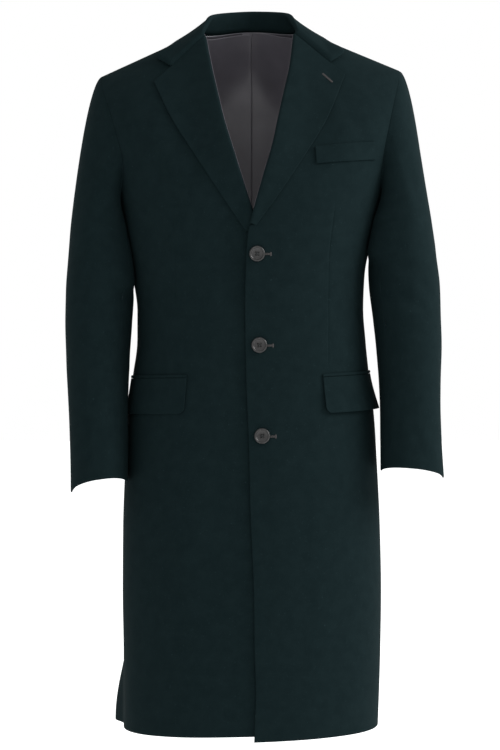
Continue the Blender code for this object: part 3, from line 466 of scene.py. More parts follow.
def mix(tree, factor, first, second, kind="RGBA"):
    """A colour or a value between two, each of them fixed or another node's output."""
    node = add(tree, "Mix", data_type=kind)
    start = 6 if kind == "RGBA" else 2
    for socket, value in zip((0, start, start + 1), (factor, first, second)):
        if hasattr(value, "is_linked"):
            tree.links.new(value, node.inputs[socket])
        else:
            node.inputs[socket].default_value = (*value, 1.0) if isinstance(value, tuple) else value
    return node.outputs[2 if kind == "RGBA" else 0]


def noise(tree, coordinates, scale, detail=2.0, roughness=0.5):
    """Soft cloudy noise, with its features about 1 / scale metres wide."""
    node = add(tree, "TexNoise", Scale=scale, Detail=detail, Roughness=roughness)
    tree.links.new(coordinates, node.inputs["Vector"])
    return node.outputs[0]


def sharpen(tree, value, low, high):
    """Stretch a value so that low becomes 0 and high becomes 1."""
    node = add(tree, "MapRange", clamp=True, From_Min=low, From_Max=high)
    tree.links.new(value, node.inputs["Value"])
    return node.outputs[0]


def bump(tree, shader, height, strength, distance, below=None):
    """Roughen the shader's normal by a height, on top of another bump if there is one."""
    node = add(tree, "Bump", Strength=strength, Distance=distance)
    tree.links.new(height, node.inputs["Height"])
    if below is not None:
        tree.links.new(below, node.inputs["Normal"])
    tree.links.new(node.outputs[0], shader.inputs["Normal"])
    return node.outputs[0]


# %% Wool
WOOL_DARK = (0.0033, 0.0075, 0.0084)
WOOL_LIGHT = (0.0058, 0.0119, 0.0130)
WOOL_FLECK = (0.0110, 0.0210, 0.0230)
FIBRE_SCALE = 900.0
CLOUD_SCALE = 60.0
FLECK_SCALE = 420.0
DRIFT_SHARE = 0.35
TWILL_PITCH = 0.0009
WAVE_SCALE = 0.314


def wool(name):
    """Milled wool: two tones by fibre noise, rare light flecks, twill and fibre in the bump."""
    material, tree, shader = new_material(
        name, Roughness=0.92, Specular_IOR_Level=0.02, Sheen_Weight=0.01, Sheen_Roughness=0.45,
        Sheen_Tint=(0.30, 0.55, 0.58, 1.0))
    place = object_place(tree)
    fibre = sharpen(tree, noise(tree, place, FIBRE_SCALE, 3.0, 0.7), 0.32, 0.68)
    cloud = sharpen(tree, noise(tree, place, CLOUD_SCALE, 4.0, 0.6), 0.35, 0.65)
    toned = mix(tree, fibre, WOOL_DARK, WOOL_LIGHT)
    drift = mix(tree, cloud, WOOL_DARK, WOOL_LIGHT)
    fleck = sharpen(tree, noise(tree, place, FLECK_SCALE, 1.0), 0.70, 0.80)
    colour = mix(tree, fleck, mix(tree, DRIFT_SHARE, toned, drift), WOOL_FLECK)
    tree.links.new(colour, shader.inputs["Base Color"])
    twill = add(tree, "TexWave", wave_type="BANDS", bands_direction="DIAGONAL",
                Scale=WAVE_SCALE / TWILL_PITCH, Distortion=1.2, Detail=1.0, Detail_Scale=2.0)
    tree.links.new(add(tree, "UVMap", uv_map="cut").outputs[0], twill.inputs["Vector"])
    weave = bump(tree, shader, twill.outputs["Fac"], 0.25, 0.0002)
    bump(tree, shader, fibre, 0.35, 0.0003, weave)
    return material


WOOL = wool("topcoat_wool")
print("material:", WOOL.name)

# %% [markdown]
# ## Satin lining
# The lining is a smooth satin of a warm, dark purple-grey. Its long floats of thread run down the
# coat, so it has a soft gloss and very fine streaks. The streaks are noise stretched along the
# height and squeezed across it, the gloss a middling roughness.

# %% Satin
SATIN_DARK = (0.0680, 0.0640, 0.0770)
SATIN_LIGHT = (0.1000, 0.0945, 0.1120)
STREAK_SCALE = 1400.0
STREAK_STRETCH = (1.0, 1.0, 0.04)


def stretched(tree, place, scale, rotation=(0.0, 0.0, 0.0)):
    """Coordinates stretched and turned."""
    node = add(tree, "Mapping", Scale=scale, Rotation=rotation)
    tree.links.new(place, node.inputs["Vector"])
    return node.outputs[0]


def satin(name):
    """Satin: fine upright streaks in colour and bump, a soft gloss."""
    material, tree, shader = new_material(
        name, Roughness=0.40, Specular_IOR_Level=0.60, Sheen_Weight=0.08)
    place = object_place(tree)
    streaks = noise(tree, stretched(tree, place, STREAK_STRETCH), STREAK_SCALE, 2.0, 0.6)
    clouds = sharpen(tree, noise(tree, place, 26.0, 3.0), 0.35, 0.65)
    tone = mix(tree, 0.5, streaks, clouds, "FLOAT")
    tree.links.new(mix(tree, tone, SATIN_DARK, SATIN_LIGHT), shader.inputs["Base Color"])
    bump(tree, shader, streaks, 0.15, 0.0001)
    return material


SATIN = satin("topcoat_satin")
print("material:", SATIN.name)

# %% [markdown]
# ## Fronts
# Each front runs from the hem to the shoulder seam. Below the break its inner edge is the front
# edge of the coat. Above it, the cloth turns over the roll line to become the lapel, so the
# panel stops a few millimetres short of that line and the lapel takes over. The outer edge is
# the side seam, then the armhole. The left front laps over the right, which lies deeper there.
# A dart, a fine sewn fold under the chest, pulls a narrow valley down to the pocket.

# %% Charts of the fronts
COLUMN_EASE = 1.3
ROLL_EASE = 0.9
ARMHOLE_EASE = 1.3
FOOT_DROP = 0.0035
FOOT_STEP = 0.0008
LAPEL_FOOT_RISE = 0.004
ROLL_INSET_PANEL = 0.0065
GORGE_START = 0.0180
GORGE_DROP = 0.0040
LAST_CLIMB = 0.875
# height, distance of the left front's edge from the middle, of the right front's edge under it
FRONT_EDGE = (
    (-1.070, 0.0060, 0.0420),
    (-0.988, 0.0088, 0.0420),
    (-0.928, 0.0068, 0.0410),
    (-0.852, 0.0060, 0.0400),
    (-0.701, 0.0000, 0.0380),
    (-0.625, -0.0015, 0.0370),
    (-0.512, -0.0060, 0.0340),
    (-0.399, -0.0076, 0.0300),
    (-0.316, -0.0048, 0.0225),
    (-0.294, -0.0026, 0.0180),
)
# height, depth of the right front under the left
LAP_DEPTH = (
    (-1.070, 0.0046),
    (-0.450, 0.0046),
    (-0.360, 0.0080),
    (-0.250, 0.0090),
    (-0.200, 0.0040),
    (-0.150, 0.0000),
    (0.070, 0.0000),
)
LAP_FADE = 0.110
LAP_FULL_FROM = 0.012
# height, distance of the roll line at the left front, at the right front
ROLL_LINE = (
    (-0.330, -0.0110, -0.0260),
    (-0.294, -0.0026, -0.0143),
    (-0.266, 0.0049, -0.0050),
    (-0.213, 0.0197, 0.0121),
    (-0.157, 0.0357, 0.0293),
    (-0.122, 0.0428, 0.0397),
    (-0.078, 0.0523, 0.0498),
    (-0.035, 0.0615, 0.0592),
    (0.018, 0.0680, 0.0692),
)
# left distance, left height, right distance, right height, from the break to the lapel's tip
LAPEL_EDGE = (
    (0.0090, -0.2855, 0.0065, -0.2945),
    (0.0250, -0.2640, 0.0260, -0.2650),
    (0.0393, -0.2450, 0.0484, -0.2310),
    (0.0805, -0.1840, 0.0806, -0.1804),
    (0.1180, -0.1224, 0.1211, -0.1153),
    (0.1475, -0.0494, 0.1489, -0.0544),
)
# share of the way up the armhole, its distance: right front, left front, right back, left back
ARMHOLE = (
    (0.00, 0.2040, 0.2060, 0.2040, 0.2060),
    (0.12, 0.1990, 0.2040, 0.2020, 0.2060),
    (0.30, 0.1965, 0.2068, 0.2035, 0.2085),
    (0.46, 0.2043, 0.2125, 0.2085, 0.2130),
    (0.70, 0.2190, 0.2235, 0.2200, 0.2235),
    (0.88, 0.2305, 0.2315, 0.2300, 0.2310),
    (1.00, 0.2360, 0.2360, 0.2360, 0.2360),
)
# distance from the middle and height down each dart, and the heights where it fades out
DARTS = {
    1: ((-0.251, 0.1302), (-0.348, 0.1205), (-0.511, 0.1197)),
    -1: ((-0.240, 0.1201), (-0.335, 0.1142), (-0.396, 0.1144), (-0.511, 0.1150)),
}
DART_TOP = -0.245
DART_LOW = {1: -0.512, -1: -0.430}
DART_DEPTH = 0.0007
DART_WIDTH = 0.0011
DART_FADE = 0.03
# a dart's usual share of the way across, its close columns in dart widths, and the share of the
# way that the other columns keep off them
DART_SHARE = 0.645
DART_COLUMNS = (-2.4, -1.1, -0.45, 0.0, 0.45, 1.1, 2.4)
DART_COLUMN_GAP = 0.004
DART_BEND_WIDTH = 0.11
# heights from which and to which the columns bend, each with the height that it fades over
DART_BEND_FADES = ((-0.62, 0.08), (-0.16, 0.06))
FRONT_WIDTH = 0.2
# how far the wool facing and hem reach inside before the lining starts, across and up
FRONT_FACING = 0.085
HEM_FACING = 0.045

# %% Edges of the fronts


def climb_share(climb):
    """Shares of the height up the armhole, closer together at both ends."""
    return (0.5 - 0.5 * np.cos(math.pi * climb)) ** ARMHOLE_EASE


def armhole_edge(side, face, climb):
    """Distance and height of the armhole's edge at shares 0 to 1 from the underarm up."""
    share = climb_share(climb)
    column = {(-1, -1): 1, (1, -1): 2, (-1, 1): 3, (1, 1): 4}[(side, face)]
    distance = curve(ARMHOLE, column, share)
    return distance, UNDERARM + (shoulder_height(distance) - UNDERARM) * share


def across_shares(share):
    """Shares of the way from the middle to the side, closer together round the side."""
    return np.sin(share ** COLUMN_EASE * math.pi / 2) ** (2 / SQUARENESS)


def lap_depth(x, z):
    """How much deeper the right front lies where the left one laps over it."""
    return curve(LAP_DEPTH, 1, z) * ease((x + LAP_FADE) / (LAP_FADE - LAP_FULL_FROM))


def lapel_edge(side):
    """Points down the outer edge of a lapel, from the break up to its tip."""
    column = 0 if side > 0 else 2
    return np.array([row[column:column + 2] for row in LAPEL_EDGE])


def lapel_foot(side):
    """Height at which the lapel starts."""
    return lapel_edge(side)[0, 1] + LAPEL_FOOT_RISE


def front_edge(side, z):
    """Distance of a front's free edge: its front edge, then its roll line and a small inset."""
    column = 1 if side > 0 else 2
    edge = side * curve(FRONT_EDGE, column, z)
    roll = curve(ROLL_LINE, column, z)
    roll = roll + np.where(z > lapel_foot(side) - FOOT_DROP, ROLL_INSET_PANEL, 0)
    return np.where(z <= BREAK[side], edge, roll)


# %% Make the fronts
FRONT_LINES = 74
FRONT_LENGTH = 0.24
FRONT_CLIMB_LINES = 60
FOOT_LINES = 5
PANEL_LINE = 0.0062
HEM_STEP = 0.004
ARMHOLE_LENGTH = 0.28


def lines_between(low, high):
    """Heights from low to high, about a panel line apart, without the last one."""
    count = max(2, int((high - low) / PANEL_LINE))
    return np.linspace(low, high, count, endpoint=False)


def front_bounds(side):
    """Inner and outer boundary of a front, as distances and heights of each row from the hem up."""
    hem, foot = HEM_FRONT[side], lapel_foot(side) - FOOT_DROP
    low = np.concatenate([
        hem + np.array(EDGE_LINES),
        lines_between(hem + HEM_STEP, BREAK[side]),
        np.linspace(BREAK[side], foot - FOOT_STEP, FOOT_LINES),
        lines_between(foot + FOOT_STEP, UNDERARM),
    ])
    climb = with_edges(FRONT_CLIMB_LINES, ARMHOLE_LENGTH)
    rise = np.minimum(climb, LAST_CLIMB) ** ROLL_EASE
    inner_z = UNDERARM + (GORGE_START - GORGE_DROP - UNDERARM) * rise
    inner_x = front_edge(side, inner_z)
    last = np.clip((climb - LAST_CLIMB) / (1 - LAST_CLIMB), 0, 1)
    inner_x = inner_x + (NECK_POINT - inner_x) * last
    inner_z = inner_z + (shoulder_height(NECK_POINT) - inner_z) * last
    arm_x, arm_z = armhole_edge(side, -1, climb)
    outer_low = HEM_SIDE[side] + (low - hem) / (UNDERARM - hem) * (UNDERARM - HEM_SIDE[side])
    inner = np.stack([np.concatenate([front_edge(side, low), inner_x]), np.concatenate([low, inner_z])], -1)
    outer = np.stack([np.concatenate([half_width(side, outer_low), arm_x]),
                      np.concatenate([outer_low, arm_z])], -1)
    return inner, outer, len(low)


def dart_columns(side, share, inner, outer):
    """Bend the grid's columns so that seven close ones follow the dart, and say where it runs.

    Each row's column share is moved by the dart's own share less its usual one, times a bell
    that fades to both sides.
    """
    z = inner[:, 1]
    dart_x = curve(DARTS[side], 1, z)
    own = (dart_x - inner[:, 0]) / (outer[:, 0] - inner[:, 0])
    (from_z, over), (to_z, under) = DART_BEND_FADES
    shift = (own - DART_SHARE) * ease((z - from_z) / over) * ease((to_z - z) / under)
    near = DART_SHARE + np.array(DART_COLUMNS) * DART_WIDTH / FRONT_WIDTH
    share = share[np.min(np.abs(share[:, None] - near[None, :]), axis=1) > DART_COLUMN_GAP]
    share = np.sort(np.concatenate([share, near]))
    bell = np.exp(-((share - DART_SHARE) / DART_BEND_WIDTH) ** 2)
    return share[None, :] + shift[:, None] * bell[None, :], dart_x


def make_front(side):
    """A front: straight rows between its inner and outer boundary, laid on the body's form."""
    inner, outer, low_rows = front_bounds(side)
    share, dart_x = dart_columns(side, across_shares(with_edges(FRONT_LINES, FRONT_LENGTH)), inner, outer)
    distance = inner[:, :1] + (outer - inner)[:, :1] * share
    z = inner[:, 1:] + (outer - inner)[:, 1:] * share
    x = side * distance
    angle = angle_at(x, z)
    angle[:low_rows + 1, -1] = side * math.pi / 2
    dip = np.exp(-((distance - dart_x[:, None]) / DART_WIDTH) ** 2)
    dip = dip * ease((DART_TOP - z) / DART_FADE) * ease((z - DART_LOW[side]) / DART_FADE)
    depth = (lap_depth(x, z) if side < 0 else 0 * x) + DART_DEPTH * dip
    grid, normal = on_body(angle, z, -1, -depth)
    grid[-1, :, 1] -= SEAM / 2
    grid[:low_rows + 1, -1, 1] -= SEAM / 2
    name = "front_" + SIDE_NAME[side]
    lined = (run_along(grid, 1) > FRONT_FACING) & (z > inner[0, 1] + HEM_FACING)
    grid, normal, lined = turn_for_side(side, grid, normal, lined)
    thing = cloth("cloth_" + name, grid, normal, BODY_CLOTH, lined=lined)
    finish_cloth(thing, grid, name, (WOOL, SATIN))


for side in (1, -1):
    make_front(side)

# %% [markdown]
# ## Backs
# Two backs meet in a seam down the middle. Below the seat the seam opens into a vent, and the
# left back laps over the right. The top edge is the neckline, almost level, with the collar
# sewn on, and then the shoulder seam. The camera never sees it, but a coat is looked at
# from behind as much as from in front, so it is made with the same care.

# %% Make the backs
NECKLINE_BACK = 0.0380
NECKLINE_DIP = 0.0030
NECK_COLUMNS = 6 / 14
VENT_TOP = -0.600
VENT_LAP = 0.040
VENT_DEPTH = 0.0040
VENT_FADE = 0.070
VENT_STEP = 0.004
VENT_TOP_RISE = 0.010
VENT_TOP_FADE = 0.014
VENT_FACING = 0.050
BACK_LINES = 80
BACK_LENGTH = 0.22
BACK_CLIMB_LINES = 56
LEAST_CLIMB = 1e-5


def neckline(distance):
    """Height of the back neckline, almost level, from the middle out to the neck point."""
    share = np.clip(distance / NECK_POINT, 0, 1) ** 2
    level = NECKLINE_BACK + (shoulder_height(NECK_POINT) - NECKLINE_BACK) * share
    return level - NECKLINE_DIP * 4 * share * (1 - share)


def back_rows():
    """Heights of a back's rows below the underarm, then shares of the way from there to its top."""
    below_vent = VENT_TOP - VENT_STEP
    low = np.concatenate([HEM_BACK + np.array(EDGE_LINES), lines_between(HEM_BACK + HEM_STEP, below_vent),
                          [below_vent], lines_between(VENT_TOP, UNDERARM)])
    return low, climb_share(with_edges(BACK_CLIMB_LINES, ARMHOLE_LENGTH))


def back_heights(distance, low, share):
    """Heights of the points in a back's rows, up to its neckline and its shoulder seam."""
    rise = np.concatenate([np.zeros(len(low)), share])[:, None]
    start = np.concatenate([low, np.full(len(share), UNDERARM)])[:, None]
    top = np.where(distance < NECK_POINT, neckline(distance), shoulder_height(distance))
    return start + (top - start) * rise


def make_back(side):
    """A back: even columns at the hem that gather to the neckline's own spacing at the top."""
    low, share = back_rows()
    # the close rows that easing presses onto the underarm's own are left out
    apart = (share == 0) | (share > LEAST_CLIMB)
    share = share[apart]
    arm_x = armhole_edge(side, 1, with_edges(BACK_CLIMB_LINES, ARMHOLE_LENGTH)[apart])[0]
    outer_x = np.concatenate([half_width(side, low), arm_x])[:, None]
    column = with_edges(BACK_LINES, BACK_LENGTH)
    at_neck = NECK_POINT * np.sin(np.minimum(column / NECK_COLUMNS, 1) * math.pi / 2)
    past_neck = np.clip((column - NECK_COLUMNS) / (1 - NECK_COLUMNS), 0, 1)
    at_top = (at_neck + (arm_x[-1] - NECK_POINT) * past_neck) / arm_x[-1]
    rise = np.concatenate([np.zeros(len(low)), share])[:, None]
    u = across_shares(column) * (1 - rise) + at_top * rise
    below_vent = np.concatenate([low < VENT_TOP, np.zeros(len(share), bool)])[:, None]
    inner_x = np.where(below_vent & (side < 0), -VENT_LAP, 0.0)
    x = side * (inner_x + (outer_x - inner_x) * u)
    z = back_heights(np.abs(x), low, share)
    fade = (UNDERARM - low) / (UNDERARM - HEM_BACK)
    z[:len(low)] += (HEM_SIDE[side] - HEM_BACK) * u[:len(low)] ** HEM_SLANT * fade[:, None]
    angle = angle_at(x, z)
    angle[:len(low) + 1, -1] = side * math.pi / 2
    depth = 0 * x
    if side < 0:
        lap = VENT_DEPTH * ease((x + VENT_FADE) / (VENT_FADE - LAP_FULL_FROM))
        depth = lap * ease((VENT_TOP + VENT_TOP_RISE - z) / VENT_TOP_FADE)
    grid, normal = on_body(angle, z, 1, -depth)
    grid[-1, :, 1] += SEAM / 2
    grid[:len(low) + 1, -1, 1] += SEAM / 2
    middle = ~below_vent[:, 0] | (side > 0)
    grid[middle, 0, 0] += side * SEAM / 2
    name = "back_" + SIDE_NAME[side]
    lined = (z > HEM_BACK + HEM_FACING) & (~below_vent | (run_along(grid, 1) > VENT_FACING))
    grid, normal, lined = turn_for_side(-side, grid, normal, lined)
    thing = cloth("cloth_" + name, grid, normal, BODY_CLOTH, lined=lined)
    finish_cloth(thing, grid, name, (WOOL, SATIN))


for side in (1, -1):
    make_back(side)

# %% [markdown]
# ## Lapels
# A lapel is the top of the front's own edge, turned over the roll line and pressed back on the
# chest. Its section starts in the plane of the front, goes round a small half circle at the roll
# and runs back, a little high at first and then down to rest on the cloth. That section is
# carried up from the break to the seam with the collar, growing wider to the tip.

# %% Section of a turned-over leaf
ROLL_RADIUS = 0.0032
ROLL_RADIUS_AT_FOOT = 0.0022
FOOT_FOLD_SHARE = 0.33
ROLL_INSET = 0.0057
REST_GAP = 0.0009
LEAF_COMES_DOWN = 1.1
FOLD_STEPS = 16
INSET_STEPS = 4
GORGE_SEAM = 0.00042


def roll_lift(run, radius, thickness, length):
    """Lift of the leaf's middle: level after the fold, then eased down to rest on the cloth."""
    top = 2 * radius - thickness / 2
    rest = thickness / 2 + REST_GAP
    return top + (rest - top) * ease((run - radius) / (length - radius) * LEAF_COMES_DOWN)


def roll_over(start, end, radius, thickness, inset, leaf):
    """Sections of cloth turned over a roll line, one for each pair of start and end.

    In the plane of the run and the lift, a short straight, a half circle of the radius about
    run = radius, and the leaf at shares of the way to the end.
    """
    length = np.linalg.norm(end - start, axis=-1, keepdims=True)
    turn = np.linspace(-math.pi / 2, -3 * math.pi / 2, FOLD_STEPS)
    ahead = np.linspace(0, 1, INSET_STEPS, endpoint=False)
    leaf_run = radius + (length - radius) * leaf
    low = -thickness / 2
    runs = np.concatenate([inset + (radius - inset) * ahead, radius + radius * np.cos(turn), leaf_run],
                          axis=1)
    lifts = np.concatenate([low + 0 * (inset * ahead), low + radius + radius * np.sin(turn),
                            roll_lift(leaf_run, radius, thickness, length)], axis=1)
    way = (end - start) / length
    return start[:, None] + way[:, None] * runs[..., None], lifts


def roll_start(side):
    """Where the roll line meets the seam with the collar."""
    return np.array([float(curve(ROLL_LINE, 1 if side > 0 else 2, GORGE_START)), GORGE_START])


def gorge_normals(side, row, leaf_end):
    """Normals along the seam of lapel and collar, the same for both pieces."""
    start, tip = roll_start(side), lapel_edge(side)[-1]
    middle = (start + tip) / 2
    base = on_front(side * middle[0], middle[1])
    outward = unit(on_front(side * middle[0], middle[1], 0.01) - base)
    along = on_front(side * tip[0], tip[1]) - on_front(side * start[0], start[1])
    normal = unit(np.cross(np.gradient(row[:leaf_end], axis=0), np.cross(outward, along)))
    normal = normal * np.sign(normal[-1] @ outward)
    return np.concatenate([normal, np.repeat(normal[-1:], len(row) - leaf_end, axis=0)])


# %% Make the lapels
LAPEL_LINES = 84
LAPEL_LENGTH = 0.30
LEAF_LINES = 26
LEAF_LENGTH = 0.09
END_LINES = 6
ROLL_LINE_AT = INSET_STEPS + FOLD_STEPS // 2 - 1
lapel_places = {}
roll_paths = {}


def lapel_sections(side, shares):
    """Places and lifts of a lapel's sections at shares of the way from the break to its tip."""
    edge = lapel_edge(side)
    lengths = np.concatenate([[0], np.cumsum(np.linalg.norm(np.diff(edge, axis=0), axis=1))])
    corners = [(s, *point) for s, point in zip(lengths / lengths[-1], edge)]
    end = np.stack([curve(corners, 1, shares), curve(corners, 2, shares)], -1)
    foot = lapel_foot(side)
    roll_z = foot + (GORGE_START - foot) * shares
    start = np.stack([curve(ROLL_LINE, 1 if side > 0 else 2, roll_z), roll_z], -1)
    below = np.where(shares >= 1, GORGE_SEAM, 0)[:, None] * np.array([0, 1])
    start, end = start - below, end - below
    opened = np.minimum(1, shares / FOOT_FOLD_SHARE)
    radius = ROLL_RADIUS_AT_FOOT + (ROLL_RADIUS - ROLL_RADIUS_AT_FOOT) * opened
    inset = np.minimum(ROLL_INSET, np.linalg.norm(end - start, axis=-1) * 0.5)
    leaf = with_edges(LEAF_LINES, LEAF_LENGTH)[len(EDGE_LINES):]
    return roll_over(start, end, radius[:, None], LAPEL_CLOTH, inset[:, None], leaf)


def make_lapel(side):
    """A lapel: its sections laid over the front, with half the cloth to each side."""
    place, lift = lapel_sections(side, with_edges(LAPEL_LINES, LAPEL_LENGTH))
    x, z = side * place[..., 0], place[..., 1]
    depth = lap_depth(x, z) if side < 0 else 0 * x
    mid = on_front(x, z, lift - depth)
    normal = side * grid_normals(mid)
    normal[-1] = gorge_normals(side, mid[-1], mid.shape[1])
    near_top = np.linspace(0, 1, END_LINES)[:, None, None]
    normal[-END_LINES:] = unit(normal[-END_LINES] * (1 - near_top) + normal[-1] * near_top)
    lapel_places[side] = (place, lift - depth)
    name = "lapel_" + SIDE_NAME[side]
    roll_paths[side] = (mid + normal * LAPEL_CLOTH / 2)[:, ROLL_LINE_AT]
    grid, normal = turn_for_side(side, mid + normal * LAPEL_CLOTH / 2, normal)
    thing = cloth("cloth_" + name, grid, normal, LAPEL_CLOTH)
    finish_cloth(thing, grid, name, (WOOL,))


for side in (1, -1):
    make_lapel(side)

# %% [markdown]
# ## Collar
# The collar stands up from the neckline and falls over outside. At its two front ends it lies on
# the chest like the lapels and is sewn to them; behind, it goes round the neck. So its section
# is blended on the way: at the seam it is the lapel's own section with a corner that turns up
# to the notch, and from a third of the way on it is a stand, a fold and a fall.

# %% Sections of the collar
NOTCH = (0.1240, -0.0265)
COLLAR_CORNER = (0.1432, -0.0152)
# place, then distance, y and height of the crest, then of the outer edge
COLLAR = (
    (0.00, 0.0705, -0.0210, 0.0215, 0.1432, -0.0252, -0.0152),
    (0.22, 0.0655, -0.0060, 0.0415, 0.1290, -0.0150, 0.0015),
    (0.42, 0.0600, 0.0110, 0.0550, 0.1130, 0.0150, 0.0180),
    (0.70, 0.0480, 0.0405, 0.0635, 0.0850, 0.0620, 0.0080),
    (1.00, 0.0000, 0.0605, 0.0693, 0.0000, 0.0960, 0.0150),
    (1.30, -0.0480, 0.0405, 0.0635, -0.0850, 0.0620, 0.0080),
)
SHOULDER_PLACE = 0.42
NECK_MIDDLE_Y = 0.020
NECK_SEAM_RISE = 0.0007
GORGE_TURN = 0.35
FALL_BEND_SHARE = 0.45
FALL_RISE = -0.0015
FALL_PUFF = -0.0025
FALL_LINES = 30
CORNER_LINES = 10
COLLAR_LINES = 150
COLLAR_LENGTH = 0.28
# share of the way by which the collar has left the seam's own section, and its crest's place in it
COLLAR_LEAVES_SEAM = 0.07
CREST_SHARE = 0.6


def neck_seam(places, side):
    """Foot of the stand: over the front's neck edge to the shoulder, then along the neckline."""
    ahead = np.clip(places / SHOULDER_PLACE, 0, 1)[:, None]
    start, tip = roll_start(side), lapel_edge(side)[-1]
    inset = start + unit(tip - start) * ROLL_INSET
    point = inset + (np.array([NECK_POINT, float(shoulder_height(NECK_POINT))]) - inset) * ahead
    front = on_front(side * point[:, 0], point[:, 1])
    behind = np.clip((places - SHOULDER_PLACE) / (1 - SHOULDER_PLACE), 0, 1)
    x = NECK_POINT * np.cos(behind * math.pi / 2)
    z = neckline(x)
    back = on_body(angle_at(side * x, z), z, 1)[0]
    seam = np.where(places[:, None] < SHOULDER_PLACE, front, back)
    seam = unlean(seam) * np.array([side, 1, 1])
    inward = np.stack([-seam[:, 0], NECK_MIDDLE_Y - seam[:, 1], 0 * x], -1)
    return seam + unit(inward) * COLLAR_CLOTH / 2 + np.array([0, 0, NECK_SEAM_RISE])


def gorge_row(side):
    """The collar's front end: along the seam to the notch, then up to its corner."""
    start, tip = roll_start(side), lapel_edge(side)[-1]
    to_notch = np.linalg.norm(np.array(NOTCH) - start) / np.linalg.norm(tip - start)
    leaf = np.linspace(0, 1, FALL_LINES - CORNER_LINES + 1)[1:] * to_notch
    radius, inset = np.array([[ROLL_RADIUS]]), np.array([[ROLL_INSET]])
    place, lift = roll_over(start[None], tip[None], radius, COLLAR_CLOTH, inset, leaf)
    place, lift = place[0], lift[0]
    up = np.linspace(0, 1, CORNER_LINES + 1)[1:, None]
    place = np.concatenate([place, place[-1] + (np.array(COLLAR_CORNER) - place[-1]) * up])
    lift = np.concatenate([lift, np.full(CORNER_LINES, lift[-1])])
    return on_front(side * place[:, 0], place[:, 1], lift)


def keep_off_body(points, clearance):
    """Move points that are nearer the body's form than a clearance straight out of it."""
    x, y, low = points[..., 0], points[..., 1], points[..., 2] - clearance
    over = low < shoulder_height(x)
    angle = angle_at(x, low)
    front = body_skin(angle, low, -1)[..., 1] - clearance / 2
    back = body_skin(angle, low, 1)[..., 1] + clearance / 2
    y = np.where(over & (y < SHOULDER_SEAM_Y), np.minimum(y, front), y)
    y = np.where(over & (y >= SHOULDER_SEAM_Y), np.maximum(y, back), y)
    return np.stack([x, y, points[..., 2]], axis=-1)


def collar_sections(places, side):
    """Sections of the collar: stand, half circle over the crest, and a bent fall to the edge."""
    crest = np.stack([curve(COLLAR, k, places) for k in (1, 2, 3)], -1)[:, None]
    edge = np.stack([curve(COLLAR, k, places) for k in (4, 5, 6)], -1)[:, None]
    seam = neck_seam(places, side)[:, None]
    across = unit((edge - crest) * np.array([1, 1, 0]))
    turn = np.linspace(math.pi, 0, FOLD_STEPS)[None, :, None]
    up = np.array([0, 0, 1.0])
    arch = crest + across * ROLL_RADIUS * (1 + np.cos(turn)) + up * ROLL_RADIUS * (np.sin(turn) - 1)
    rise = np.linspace(0, 1, INSET_STEPS, endpoint=False)[None, :, None]
    stand = seam + (arch[:, :1] - seam) * rise
    last = arch[:, -1:]
    t = np.linspace(0, 1, FALL_LINES + 1)[None, 1:, None]
    control = last + (edge - last) * FALL_BEND_SHARE + up * FALL_RISE + across * FALL_PUFF
    fall = last * (1 - t) ** 2 + control * 2 * t * (1 - t) + edge * t ** 2
    rows = np.concatenate([stand, arch, fall], axis=1)
    flat = unlean(gorge_row(side)) * np.array([side, 1, 1])
    crest_row = INSET_STEPS + round(CREST_SHARE * (FOLD_STEPS - 1))
    started = ease(places / COLLAR_LEAVES_SEAM)[:, None]
    moved = (rows[:, crest_row] - flat[crest_row]) * started
    turned = ease(places / GORGE_TURN)[:, None, None]
    rows = (flat[None] + moved[:, None]) * (1 - turned) + rows * turned
    clear = keep_off_body(rows[:, -FALL_LINES:], COLLAR_CLOTH / 2 + REST_GAP)
    rows[:, -FALL_LINES:] += (clear - rows[:, -FALL_LINES:]) * started[..., None]
    return lean(rows * np.array([side, 1, 1]))


# %% Make the collar
half = with_edges(COLLAR_LINES // 2, COLLAR_LENGTH)
half = np.concatenate([half[:1 - len(EDGE_LINES)], [1.0]])
right = collar_sections(half, -1)
left = collar_sections(half[:-1], 1)[::-1]
collar_mid = np.concatenate([right, left]).transpose(1, 0, 2)
collar_normal = grid_normals(collar_mid)
leaf_end = len(collar_mid) - CORNER_LINES
away = np.linspace(0, 1, END_LINES + 1)[None, :, None]
for side in (-1, 1):
    mid, from_end = collar_mid[:, ::-side], collar_normal[:, ::-side][:, :END_LINES + 1]
    at_seam = gorge_normals(side, mid[:, 0], leaf_end)[:, None]
    from_end[:] = unit(at_seam * (1 - away) + from_end[:, -1:].copy() * away)
collar_grid = collar_mid + collar_normal * COLLAR_CLOTH / 2
collar = cloth("cloth_collar", collar_grid, collar_normal, COLLAR_CLOTH)
finish_cloth(collar, collar_grid, "collar", (WOOL,))

# %% [markdown]
# ## Sleeves
# A tailored sleeve is cut in two: a wide top sleeve and a narrow under sleeve, sewn along the
# forearm and the hindarm, so that it bends forward like an arm at rest. Its form leaves the
# armhole over a full cap, and turns into an oval that is carried down to the open cuff. The
# inner side is kept just clear of the body. The creases are soft, at the elbow above all.

